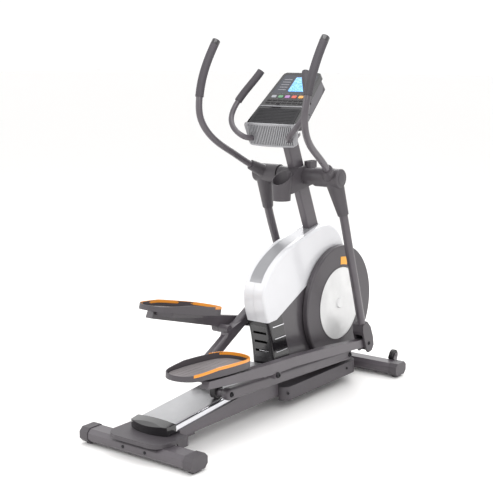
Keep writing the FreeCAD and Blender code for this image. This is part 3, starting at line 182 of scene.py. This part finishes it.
def lit_screen():
    """Backlit LCD with rows of darker segments."""
    mat = material("lcd_blue", linear(92, 160, 226), 0.2, coat=0.6, depth=0.002, mottle=0.1)
    tree = mat.node_tree
    shader = tree.nodes["Principled BSDF"]
    place = [n for n in tree.nodes if n.type == "TEX_COORD"][0]
    brick = tree.nodes.new("ShaderNodeTexBrick")
    brick.inputs["Color1"].default_value = linear(66, 132, 206)
    brick.inputs["Color2"].default_value = linear(150, 204, 244)
    brick.inputs["Mortar"].default_value = linear(110, 178, 236)
    brick.inputs["Scale"].default_value = LCD_CELLS
    brick.inputs["Mortar Size"].default_value = LCD_GAP
    turn = tree.nodes.new("ShaderNodeMapping")
    turn.inputs["Rotation"].default_value = (0, CONSOLE_ANGLE, math.pi / 2)
    tree.links.new(place.outputs["Object"], turn.inputs["Vector"])
    tree.links.new(turn.outputs["Vector"], brick.inputs["Vector"])
    tree.links.new(brick.outputs["Color"], shader.inputs["Base Color"])
    tree.links.new(brick.outputs["Color"], shader.inputs["Emission Color"])
    shader.inputs["Emission Strength"].default_value = LCD_GLOW
    return mat


LCD = lit_screen()
KEYS = {}
for key_name, rgb in KEY_COLOURS.items():
    KEYS[key_name] = material("key_" + key_name, linear(*rgb), 0.25, coat=0.5, depth=0.01)

BY_SLOT = {
    "charcoal_paint": PAINT, "charcoal_moulding": MOULDING, "gloss_black": GLOSS_BLACK,
    "black_plastic": BLACK, "foam": FOAM, "insert_rubber": INSERT, "pulse_pad": FOAM,
    "ramp_silver": RAMP, "bright_trim": CHROME, "pearl_white": WHITE,
    "silver_moulding": SILVER, "insert_silver": DISH, "disc_charcoal": DISC,
    "axle_steel": STEEL, "flywheel_iron": IRON, "screen": SCREEN,
}
for key_name, key_mat in KEYS.items():
    BY_SLOT["key_" + key_name] = key_mat
CHEEK = material("cheek_grey", linear(104, 102, 106), 0.32, metallic=0.3, depth=0.01)


def two_tone(mat, slope, level, colour, roughness):
    """Second finish behind a slanted line (x + slope * z below level) on the same shell."""
    tree = mat.node_tree
    links = tree.links
    shader = tree.nodes["Principled BSDF"]
    place = [n for n in tree.nodes if n.type == "TEX_COORD"][0]
    split = tree.nodes.new("ShaderNodeSeparateXYZ")
    links.new(place.outputs["Object"], split.inputs["Vector"])
    slant = tree.nodes.new("ShaderNodeMath")
    slant.operation = "MULTIPLY_ADD"
    slant.inputs[1].default_value = slope
    links.new(split.outputs["Z"], slant.inputs[0])
    links.new(split.outputs["X"], slant.inputs[2])
    behind = tree.nodes.new("ShaderNodeMath")
    behind.operation = "LESS_THAN"
    behind.inputs[1].default_value = level
    links.new(slant.outputs["Value"], behind.inputs[0])
    for socket, value in (("Base Color", colour), ("Roughness", roughness)):
        source = shader.inputs[socket].links[0].from_socket
        mix = tree.nodes.new("ShaderNodeMix")
        mix.data_type = "RGBA" if socket == "Base Color" else "FLOAT"
        shown = [i for i in mix.inputs if i.enabled]
        ends = [i for i in shown if i.name in ("A", "B")]
        factor = [i for i in shown if i.name == "Factor"][0]
        links.new(behind.outputs["Value"], factor)
        links.new(source, ends[0])
        ends[1].default_value = value
        result = [o for o in mix.outputs if o.enabled][0]
        links.new(result, shader.inputs[socket])


two_tone(DARK_SHELL, GLOSS_SLOPE, GLOSS_LEVEL, linear(28, 26, 29), 0.15)
BY_NODE = {
    "shelf_pad": PAD, "shroud_lower_right": DARK_SHELL, "shroud_lower_left": DARK_SHELL,
    "pivot_axle": MOULDING, "console_side_cover": CHEEK,
}
for key_index, key_name in enumerate(("orange", "red", "violet", "green", "grey")):
    BY_NODE["console_key_%d" % (key_index + 1)] = KEYS[key_name]


def paint_frame():
    for row in frame["record"]["subparts"]:
        node = NODES[row["node"]]
        node.data.materials.clear()
        node.data.materials.append(BY_NODE.get(row["node"], BY_SLOT[row["material_slot"]]))


# --- mesh helpers -------------------------------------------------------------
SHARP_ANGLE = math.radians(32)
EDGE_BEVEL = 0.0008
SCREW_ROWS = ((1.0, 0.0), (1.0, 0.35), (0.86, 0.75), (0.66, 1.0), (0.46, 1.0), (0.42, 0.9),
              (0.42, 0.35))                     # shares of the head radius and height
SCREW_STEPS = 24
SOCKET_LIMIT = 0.45                             # rows inside this share follow the hexagon
SOCKET_SHARE = 0.44
SHOULDER = 0.94                                 # of a ribbon's half width
CROWN = 1.25                                    # of a ribbon's thickness, along its middle


def finish_mesh(name, bm, mat, body):
    mesh = bpy.data.meshes.new(name)
    bmesh.ops.recalc_face_normals(bm, faces=bm.faces)
    bm.to_mesh(mesh)
    bm.free()
    obj = bpy.data.objects.new(name, mesh)
    bpy.context.scene.collection.objects.link(obj)
    mesh.materials.append(mat)
    for face in mesh.polygons:
        face.use_smooth = True
    mesh.set_sharp_from_angle(angle=SHARP_ANGLE)
    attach(obj, body)
    return obj


def turned(name, profile, centre, axis, mat, body, steps=64):
    """Turned piece about an axis. Profile rows are (radius, distance along the axis)."""
    axis = Vector(axis).normalized()
    first = axis.orthogonal().normalized()
    second = axis.cross(first)
    bm = bmesh.new()
    rings = []
    for radius, out in profile:
        row = []
        for index in range(steps):
            turn = 2 * math.pi * index / steps
            spoke = first * math.cos(turn) + second * math.sin(turn)
            row.append(bm.verts.new(centre + spoke * radius + axis * out))
        rings.append(row)
    for low, high in zip(rings, rings[1:]):
        for index in range(steps):
            after = (index + 1) % steps
            bm.faces.new((low[index], low[after], high[after], high[index]))
    bm.faces.new(rings[0])
    bm.faces.new(list(reversed(rings[-1])))
    return finish_mesh(name, bm, mat, body)


def bolt(name, centre, side, head, body):
    """Button-head screw with a hexagon socket, facing outward along Y."""
    radius, height = head
    sixth = math.pi / 3
    flat = radius * SOCKET_SHARE * math.cos(sixth / 2)
    bm = bmesh.new()
    rings = []
    for share, rise in SCREW_ROWS:
        row = []
        for index in range(SCREW_STEPS):
            turn = 2 * math.pi * index / SCREW_STEPS
            reach = share * radius
            if share < SOCKET_LIMIT:
                reach = flat / math.cos(turn % sixth - sixth / 2)
            point = Vector((reach * math.cos(turn), side * rise * height, reach * math.sin(turn)))
            row.append(bm.verts.new(centre + point))
        rings.append(row)
    for first, second in zip(rings, rings[1:]):
        for index in range(SCREW_STEPS):
            after = (index + 1) % SCREW_STEPS
            bm.faces.new((first[index], first[after], second[after], second[index]))
    bm.faces.new(rings[-1])
    bm.faces.new(rings[0])
    return finish_mesh(name, bm, BOLT, body)


def panel(name, outline, thickness, to_world, mat, body, bevel=EDGE_BEVEL):
    """Flat piece from an outline in a plane (u, v), thickened along w and edge-rounded."""
    bm = bmesh.new()
    low = [bm.verts.new(to_world(u, v, 0.0)) for u, v in outline]
    high = [bm.verts.new(to_world(u, v, thickness)) for u, v in outline]
    bm.faces.new(low)
    bm.faces.new(list(reversed(high)))
    count = len(outline)
    for index in range(count):
        after = (index + 1) % count
        bm.faces.new((low[index], low[after], high[after], high[index]))
    top = [e for e in bm.edges if all(v in high for v in e.verts)]
    bmesh.ops.bevel(bm, geom=top, offset=bevel, segments=2, profile=0.6, affect="EDGES")
    return finish_mesh(name, bm, mat, body)


def rounded_box(u0, u1, v0, v1, radius, steps=5):
    points = []
    corners = ((u1 - radius, v1 - radius, 0), (u0 + radius, v1 - radius, 1),
               (u0 + radius, v0 + radius, 2), (u1 - radius, v0 + radius, 3))
    for cu, cv, quarter in corners:
        for step in range(steps + 1):
            turn = (quarter + step / steps) * math.pi / 2
            points.append((cu + radius * math.cos(turn), cv + radius * math.sin(turn)))
    return points


def ribbon(name, path, width_dirs, width, out_dirs, thickness, mat, body):
    """Strip along a path: width along one direction, crowned outward along another."""
    bm = bmesh.new()
    rows = []
    for point, across, out in zip(path, width_dirs, out_dirs):
        half = across * (width / 2)
        lift = out * thickness
        crown = out * (thickness * CROWN)
        low = point - half * SHOULDER + lift
        high = point + half * SHOULDER + lift
        corners = (point - half, low, point + crown, high, point + half)
        rows.append([bm.verts.new(corner) for corner in corners])
    for first, second in zip(rows, rows[1:]):
        for index in range(len(first)):
            after = (index + 1) % len(first)
            bm.faces.new((first[index], first[after], second[after], second[index]))
    bm.faces.new(rows[0])
    bm.faces.new(list(reversed(rows[-1])))
    return finish_mesh(name, bm, mat, body)


# --- console ------------------------------------------------------------------
LCD_BOX = (-0.078, 0.020, 0.228, 0.328)         # u0, u1, v0, v1 on the face
LCD_CORNER = 0.005
LCD_PLATE = (0.0009, 0.0006)                    # plates are (thickness, part of it sunk)
LEGEND_BOX = (0.036, 0.082, 0.236, 0.242)
LEGEND_PITCH = 0.018
LEGEND_ROWS = 5
LEGEND_CORNER = 0.0015
LEGEND_PLATE = (0.0006, 0.0005)
LEGEND_BEVEL = 0.0002
SMALL_KEY_ROWS = ((0.142, 0.108), (0.160, 0.106))     # lower edge, half length of the row
SMALL_KEY_COUNT = 7
SMALL_KEY_HALF = 0.0125
SMALL_KEY_DEPTH = 0.011
SMALL_KEY_CORNER = 0.003
SMALL_KEY_PLATE = (0.0018, 0.0)
TRIM_LINE_BOX = (-0.122, 0.122, 0.120, 0.1255)
TRIM_LINE_CORNER = 0.0025
TRIM_LINE_PLATE = (0.0022, 0.0)
SHELF_RIBS = 9
SHELF_FIRST = 0.020
SHELF_PITCH = 0.010
SHELF_HALF = 0.118
SHELF_TAPER = 0.08
SHELF_RIB_WIDTH = 0.003
SHELF_RIB_CORNER = 0.0014
SHELF_RIB_PLATE = (0.0012, -0.0014)             # stands on the shelf pad, 1.4 mm above the face
SHELF_RIB_BEVEL = 0.0004


def on_console(u, v, w):
    """Face coordinates: u across, v up the face, w out of it."""
    up = Vector((math.cos(CONSOLE_ANGLE), 0, math.sin(CONSOLE_ANGLE)))
    out = Vector((-math.sin(CONSOLE_ANGLE), 0, math.cos(CONSOLE_ANGLE)))
    return CONSOLE_ORIGIN + up * v + Vector((0, u, 0)) + out * w


def face_plate(name, outline, plate, mat, bevel=EDGE_BEVEL):
    """Thin piece on the console face, its back sunk below the surface."""
    thickness, sink = plate
    panel(name, outline, thickness, lambda u, v, w: on_console(u, v, w - sink), mat, "frame",
          bevel)


def console_details():
    lcd = rounded_box(*LCD_BOX, LCD_CORNER)
    face_plate("lcd_window", lcd, LCD_PLATE, LCD)
    u0, u1, low, high = LEGEND_BOX
    for row in range(LEGEND_ROWS):
        rise = row * LEGEND_PITCH
        label = rounded_box(u0, u1, low + rise, high + rise, LEGEND_CORNER)
        face_plate("lens_legend_%d" % (row + 1), label, LEGEND_PLATE, PRINT,
                   LEGEND_BEVEL)
    for row, (low, half) in enumerate(SMALL_KEY_ROWS):
        for index in range(SMALL_KEY_COUNT):
            u = (index - (SMALL_KEY_COUNT - 1) / 2) * (2 * half / SMALL_KEY_COUNT)
            key = rounded_box(u - SMALL_KEY_HALF, u + SMALL_KEY_HALF, low, low + SMALL_KEY_DEPTH,
                              SMALL_KEY_CORNER)
            face_plate("small_key_%d_%d" % (row + 1, index + 1), key, SMALL_KEY_PLATE, BLACK)
    trim = rounded_box(*TRIM_LINE_BOX, TRIM_LINE_CORNER)
    face_plate("console_trim_line", trim, TRIM_LINE_PLATE, SILVER)
    for index in range(SHELF_RIBS):
        v = SHELF_FIRST + index * SHELF_PITCH
        half = SHELF_HALF - v * SHELF_TAPER
        rib = rounded_box(-half, half, v, v + SHELF_RIB_WIDTH, SHELF_RIB_CORNER)
        face_plate("shelf_rib_%d" % (index + 1), rib, SHELF_RIB_PLATE, PAD, SHELF_RIB_BEVEL)


# --- drive housing ------------------------------------------------------------
COVER_SCREW = (0.0065, 0.005)                   # screw sizes are (head radius, head height)
COVER_SCREW_X = (0.027, 0.551)
COVER_SCREW_Z = 0.084
COVER_SIDE = 0.1558
VENT_TRIMS = ((0.392, -0.002), (0.330, 0.016), (0.264, 0.030))     # height, rearmost x
VENT_STEPS = 24
VENT_HALF = 0.0655
VENT_LEAD = 0.012
VENT_SWEEP = 0.105
VENT_POWER = 1.6
VENT_SQUARENESS = 1.25
VENT_RISE = 0.018
VENT_WIDTH = 0.005
VENT_PROUD = 0.0018


def housing_details():
    for side_name, side in SIDES:
        for index, x in enumerate(COVER_SCREW_X):
            spot = Vector((x, side * COVER_SIDE, COVER_SCREW_Z))
            bolt("cover_screw_%s_%d" % (side_name, index + 1), spot, side, COVER_SCREW, "frame")
    for index, (z, rear) in enumerate(VENT_TRIMS):
        path = []
        outs = []
        for step in range(VENT_STEPS + 1):
            turn = math.pi * (step / VENT_STEPS - 0.5)
            side = math.sin(turn)
            x = rear + VENT_LEAD + VENT_SWEEP * (1 - math.cos(turn)) ** VENT_POWER
            y = VENT_HALF * math.copysign(min(1.0, abs(side) * VENT_SQUARENESS), side)
            path.append(Vector((x, y, z + VENT_RISE * (x - rear))))
            outs.append(Vector((-math.cos(turn), math.sin(turn), 0)))
        across = [Vector((0, 0, 1))] * len(path)
        ribbon("vent_trim_%d" % (index + 1), path, across, VENT_WIDTH, outs, VENT_PROUD, CHROME,
               "frame")


# --- crank discs --------------------------------------------------------------
BEAD = ((0.006, -0.001), (0.0055, 0.0012), (0.002, 0.0018), (-0.0005, 0.0008),
        (-0.001, -0.008), (0.003, -0.0085))     # (past the insert radius, out of the face)
BEAD_STEPS = 96
TAG_INNER = 0.200
TAG_OUTER = 0.240
TAG_FIRST = 73                                  # degrees above forward
TAG_SWEEP = 17
TAG_STEPS = 12
TAG_THICKNESS = 0.0012
TAG_SINK = 0.0002
TAG_BEVEL = 0.0004
CRANK_CAP = ((0.026, -0.006), (0.026, 0.001), (0.022, 0.004), (0.010, 0.005))


def tag_arc(radius, reverse):
    points = []
    for step in range(TAG_STEPS + 1):
        swept = TAG_SWEEP * step / TAG_STEPS
        if reverse:
            swept = TAG_SWEEP - swept
        turn = math.radians(TAG_FIRST + swept)
        points.append((radius * math.cos(turn), radius * math.sin(turn)))
    return points


def disc_details():
    for side_name, side in SIDES:
        face = Vector((CRANK.x, side * DISC_OUTER, CRANK.z))
        dish_bead(side_name, side, face)
        tag = tag_arc(TAG_INNER, False) + tag_arc(TAG_OUTER, True)
        panel("disc_tag_" + side_name, tag, TAG_THICKNESS,
              lambda u, v, w: Vector((face.x + u, face.y + side * (w - TAG_SINK), face.z + v)),
              AMBER, "crank", TAG_BEVEL)
        turned("crank_cap_" + side_name, CRANK_CAP, face, (0, side, 0), DISH, "crank")


def dish_bead(side_name, side, face):
    """Thin bead around the dish: a closed section turned about the crank axis."""
    bm = bmesh.new()
    rings = []
    for past, out in BEAD:
        row = []
        for index in range(BEAD_STEPS):
            turn = 2 * math.pi * index / BEAD_STEPS
            reach = INSERT_RADIUS + past
            point = Vector((reach * math.cos(turn), side * out, reach * math.sin(turn)))
            row.append(bm.verts.new(face + point))
        rings.append(row)
    for first, second in zip(rings, rings[1:] + rings[:1]):
        for index in range(BEAD_STEPS):
            after = (index + 1) % BEAD_STEPS
            bm.faces.new((first[index], first[after], second[after], second[index]))
    return finish_mesh("dish_bead_" + side_name, bm, DISC, "crank")


# --- linkage ------------------------------------------------------------------
ACCENT_FIRST = -38                              # degrees from the toe toward the outer side
ACCENT_SWEEP = 196
ACCENT_STEPS = 60
ACCENT_LIFT = 0.0002
ACCENT_TOP = (0.0068, 0.0024)                   # strips are (width, thickness)
ACCENT_OUTER = (0.010, 0.0012)
ACCENT_OUTER_SHIFT = (0.0029, -0.0048)          # (outward, upward) from the top of the rim
ACCENT_INNER = (0.011, 0.0016)
ACCENT_INNER_SHIFT = (-0.0034, -0.006)
OUTSIDE_TRAY = 0.4                              # starts of the probing rays
ABOVE_TRAY = 0.1
BESIDE_PAD = 0.3
TRAY_PROBE = 0.003                              # height of the probing rays above the floor
RIM_MIDDLE = 0.003                              # from the outer wall to the middle of the rim
NOTCH_COUNT = 11
NOTCH_FIRST = -0.150
NOTCH_PITCH = 0.031
NOTCH_HALF = (0.0105, 0.014)
NOTCH_STEPS = 16
NOTCH_INSET = 0.0145
NOTCH_PROBE = 0.004                             # below the top of the foot pad
NOTCH_THICKNESS = 0.0012
NOTCH_SINK = 0.0002
NOTCH_BEVEL = 0.0004
PIVOT_BOLT = (0.014, 0.008)
PIVOT_BOLT_LIFT = 0.003
ROLLER_BOLT = (0.012, 0.007)
CRANK_END_BOLT = (0.013, 0.007)
LEG_BOLT = (0.010, 0.005)
LEG_BOLT_SIDE = 0.2238
HUB_FACE = 0.2495
HUB_CAP = ((0.030, 0.0), (0.030, 0.0015), (0.027, 0.003), (0.012, 0.0038))


def link_frame(origin, angle, side):
    """Maps local (along, out, up) to the machine for one side."""
    c = math.cos(angle)
    s = math.sin(angle)

    def to_world(along, out, up):
        return Vector((origin.x + along * c - up * s, side * out, origin.z + along * s + up * c))
    return to_world


def mesh_tree(node):
    mesh = NODES[node].data
    points = [v.co.copy() for v in mesh.vertices]
    return BVHTree.FromPolygons(points, [tuple(p.vertices) for p in mesh.polygons])


def rim_path(tray, pedal):
    """Points on top of the rim, the direction out across it at each, and the way up."""
    centre = pedal(0, 0, TRAY_PROBE)
    up = (pedal(0, 0, 1) - pedal(0, 0, 0)).normalized()
    path = []
    across = []
    for step in range(ACCENT_STEPS + 1):
        turn = math.radians(ACCENT_FIRST + ACCENT_SWEEP * step / ACCENT_STEPS)
        spoke = (pedal(math.cos(turn), math.sin(turn), TRAY_PROBE) - centre).normalized()
        wall = tray.ray_cast(centre + spoke * OUTSIDE_TRAY, -spoke)[0]
        if wall is None:
            continue
        rim = tray.ray_cast(wall - spoke * RIM_MIDDLE + up * ABOVE_TRAY, -up)[0]
        if rim is None:
            continue
        path.append(rim + up * ACCENT_LIFT)
        across.append(spoke)
    return path, across, up


def shifted(path, across, up, shift):
    outward, upward = shift
    return [p + up * upward + a * outward for p, a in zip(path, across)]


def pedal_accents(side_name, tray, pedal, body):
    """Orange strip over the rim: its top, its outer side and its inner side."""
    path, across, up = rim_path(tray, pedal)
    ups = [up] * len(path)
    outer = shifted(path, across, up, ACCENT_OUTER_SHIFT)
    inner = shifted(path, across, up, ACCENT_INNER_SHIFT)
    inward = [-a for a in across]
    width, thickness = ACCENT_TOP
    ribbon("pedal_accent_" + side_name, path, across, width, ups, thickness, ORANGE, body)
    width, thickness = ACCENT_OUTER
    ribbon("pedal_accent_outer_" + side_name, outer, ups, width, across, thickness, ORANGE, body)
    width, thickness = ACCENT_INNER
    ribbon("pedal_accent_skirt_" + side_name, inner, ups, width, inward, thickness, ORANGE, body)


def pedal_details(side_name, side):
    foot = JOINTS["pedal_arm_" + side_name]
    pivot = JOINTS["roller_arm_" + side_name]
    angle = math.atan2(foot.z - pivot.z, foot.x - pivot.x)
    body = "pedal_arm_" + side_name
    arm = link_frame(pivot, angle, side)
    ct = math.cos(PEDAL_TILT)
    st = math.sin(PEDAL_TILT)

    def pedal(u, v, w):
        along = -PEDAL_BACK + u * ct - w * st
        return arm(along, PEDAL_CENTRE + v, PEDAL_RISE + u * st + w * ct)
    pedal_accents(side_name, mesh_tree("pedal_tray_" + side_name), pedal, body)
    insert = mesh_tree("pedal_insert_" + side_name)
    inward = (pedal(0, 0, 0) - pedal(0, 1, 0)).normalized()
    outline = []
    for index in range(NOTCH_STEPS):
        turn = math.tau * index / NOTCH_STEPS
        outline.append((NOTCH_HALF[0] * math.cos(turn), NOTCH_HALF[1] * math.sin(turn)))
    for index in range(NOTCH_COUNT):
        u = NOTCH_FIRST + NOTCH_PITCH * index
        hit = insert.ray_cast(pedal(u, BESIDE_PAD, INSERT_TOP - NOTCH_PROBE), inward)[0]
        if hit is None:
            continue
        v = side * hit.y - PEDAL_CENTRE - NOTCH_INSET
        panel("insert_notch_%s_%d" % (side_name, index + 1), outline, NOTCH_THICKNESS,
              lambda a, b, w: pedal(u + a, v + b, INSERT_TOP + w - NOTCH_SINK),
              BLACK, body, NOTCH_BEVEL)
    bolt("pedal_pivot_bolt_" + side_name, arm(0, PEDAL_ARM_OUTER + PIVOT_BOLT_LIFT, 0), side,
         PIVOT_BOLT, "roller_arm_" + side_name)


def linkage_details():
    for side_name, side in SIDES:
        pedal_details(side_name, side)
        pivot = JOINTS["roller_arm_" + side_name]
        roller = JOINTS["ramp_roller_" + side_name]
        lean = math.atan2(pivot.z - roller.z, pivot.x - roller.x)
        angle = lean - math.atan2(PEDAL_PIVOT_RISE, PEDAL_PIVOT_ALONG)
        arm = link_frame(roller, angle, side)
        body = "roller_arm_" + side_name
        bolt("roller_bolt_" + side_name, arm(0, ARM_OUTER, 0), side, ROLLER_BOLT, body)
        bolt("crank_end_bolt_" + side_name, arm(ROLLER_ARM_LENGTH, ARM_OUTER, 0), side,
             CRANK_END_BOLT, body)
        foot = JOINTS["pedal_arm_" + side_name]
        swing = "swing_" + side_name
        bolt("leg_bolt_" + side_name, Vector((foot.x, side * LEG_BOLT_SIDE, foot.z)), side,
             LEG_BOLT, swing)
        axle = JOINTS[swing]
        hub = Vector((axle.x, side * HUB_FACE, axle.z))
        turned("hub_cap_" + side_name, HUB_CAP, hub, (0, side, 0), MOULDING, swing)


# --- grips --------------------------------------------------------------------
GRIP_RADIUS = 0.020
GRIP_LEAN = (0.55, 0, 0.83)                     # rough direction of the grip's end
GRIP_END_ZONE = 0.03
GRIP_END_FACING = 0.8
GRIP_CAP = ((-0.001, -0.026), (0.0006, -0.025), (0.0008, -0.006), (-0.0005, -0.0018),
            (-0.004, 0.0004))                   # (past the grip radius, along the axis)
GRIP_CAP_STEPS = 40


def end_cap(name, node, body):
    """Glossy cap band over the end of a grip, flush with its end face."""
    lean = Vector(GRIP_LEAN).normalized()
    mesh = NODES[node].data
    reach = max(v.co.dot(lean) for v in mesh.vertices) - GRIP_END_ZONE
    ends = []
    for face in mesh.polygons:
        if face.center.dot(lean) > reach and face.normal.dot(lean) > GRIP_END_FACING:
            ends.append(face)
    area = sum(p.area for p in ends)
    centre = sum((p.center * p.area for p in ends), Vector()) / area
    direction = sum((p.normal * p.area for p in ends), Vector()).normalized()
    rows = [(GRIP_RADIUS + past, out) for past, out in GRIP_CAP]
    turned(name, rows, centre, direction, GLOSS_BLACK, body, GRIP_CAP_STEPS)


def grip_details():
    for side_name, side in SIDES:
        end_cap("grip_cap_" + side_name, "swing_grip_" + side_name, "swing_" + side_name)


# --- rear stabilizer ----------------------------------------------------------
SADDLE_BOX = (-0.125, 0.125, 0.001, 0.0195)
SADDLE_CORNER = 0.007
SADDLE_THICKNESS = 0.002
SADDLE_SINK = 0.0002
SADDLE_BOLT_Y = (-0.062, 0.062)
SADDLE_BOLT_DROP = 0.013
SADDLE_BOLT = ((0.0075, -0.0006), (0.0075, 0.0012), (0.006, 0.0024), (0.0025, 0.0027))
SADDLE_BOLT_STEPS = 24


def saddle_details():
    """Saddle plate on the rear bevel of the tube and the two bolts below it."""
    corner = Vector((STABILIZER_REAR, 0, STABILIZER_TOP - BEVEL))
    slope = Vector((1, 0, 1)).normalized()
    out = Vector((-1, 0, 1)).normalized()
    panel("saddle_plate", rounded_box(*SADDLE_BOX, SADDLE_CORNER), SADDLE_THICKNESS,
          lambda u, v, w: corner + Vector((0, u, 0)) + slope * v + out * (w - SADDLE_SINK),
          MOULDING, "frame")
    for index, y in enumerate(SADDLE_BOLT_Y):
        spot = Vector((STABILIZER_REAR, y, corner.z - SADDLE_BOLT_DROP))
        turned("saddle_bolt_%d" % (index + 1), SADDLE_BOLT, spot, (-1, 0, 0), BOLT, "frame",
               SADDLE_BOLT_STEPS)


# --- studio -------------------------------------------------------------------
FLOOR_HALF = 60.0
WORLD_STRENGTH = 1.05
LAMP_AIM = (0.1, 0, 0.7)
LAMPS = (                                       # name, place, size, power
    ("key", (-3.4, -3.2, 4.2), 3.0, 92),
    ("fill", (-3.6, 3.4, 2.6), 2.6, 36),
    ("top", (0.4, -0.4, 4.6), 3.2, 74),
    ("rim", (3.6, 1.6, 3.2), 2.2, 60),
)
CAMERA_SENSOR = 36.0
CAMERA_LENS = 80.27
CAMERA_PLACE = (-4.098, -3.010, 1.700)
CAMERA_HEADING = 36.94                          # degrees from forward
CAMERA_DIP = 10.25                              # degrees below level


def studio():
    bm = bmesh.new()
    corners = []
    for x, y in ((-1, -1), (1, -1), (1, 1), (-1, 1)):
        corners.append(bm.verts.new((x * FLOOR_HALF, y * FLOOR_HALF, 0)))
    bm.faces.new(corners)
    mesh = bpy.data.meshes.new("studio_floor")
    bm.to_mesh(mesh)
    bm.free()
    floor = bpy.data.objects.new("studio_floor", mesh)
    bpy.context.scene.collection.objects.link(floor)
    pale = material("floor_pale", linear(250, 249, 248), 0.5, depth=0.0, mottle=0.004, edge=0.0,
                    specular=0.15)
    mesh.materials.append(pale)
    world = bpy.data.worlds.new("studio")
    bpy.context.scene.world = world
    world.use_nodes = True
    back = world.node_tree.nodes["Background"]
    back.inputs["Color"].default_value = (1, 1, 1, 1)
    back.inputs["Strength"].default_value = WORLD_STRENGTH
    for name, spot, size, power in LAMPS:
        light = bpy.data.lights.new(name, "AREA")
        light.size = size
        light.energy = power
        lamp = bpy.data.objects.new(name, light)
        lamp.location = spot
        aim = Vector(LAMP_AIM) - Vector(spot)
        lamp.rotation_euler = aim.to_track_quat("-Z", "Y").to_euler()
        bpy.context.scene.collection.objects.link(lamp)
    bpy.context.scene.view_settings.view_transform = "Standard"


def camera():
    data = bpy.data.cameras.new("camera")
    data.sensor_width = CAMERA_SENSOR
    data.lens = CAMERA_LENS
    cam = bpy.data.objects.new("camera", data)
    cam.location = CAMERA_PLACE
    heading = math.radians(CAMERA_HEADING)
    dip = math.radians(CAMERA_DIP)
    level = math.cos(dip)
    look = Vector((math.cos(heading) * level, math.sin(heading) * level, -math.sin(dip)))
    cam.rotation_euler = look.to_track_quat("-Z", "Y").to_euler()
    bpy.context.scene.collection.objects.link(cam)
    bpy.context.scene.camera = cam


paint_frame()
console_details()
housing_details()
disc_details()
linkage_details()
grip_details()
saddle_details()
studio()
camera()
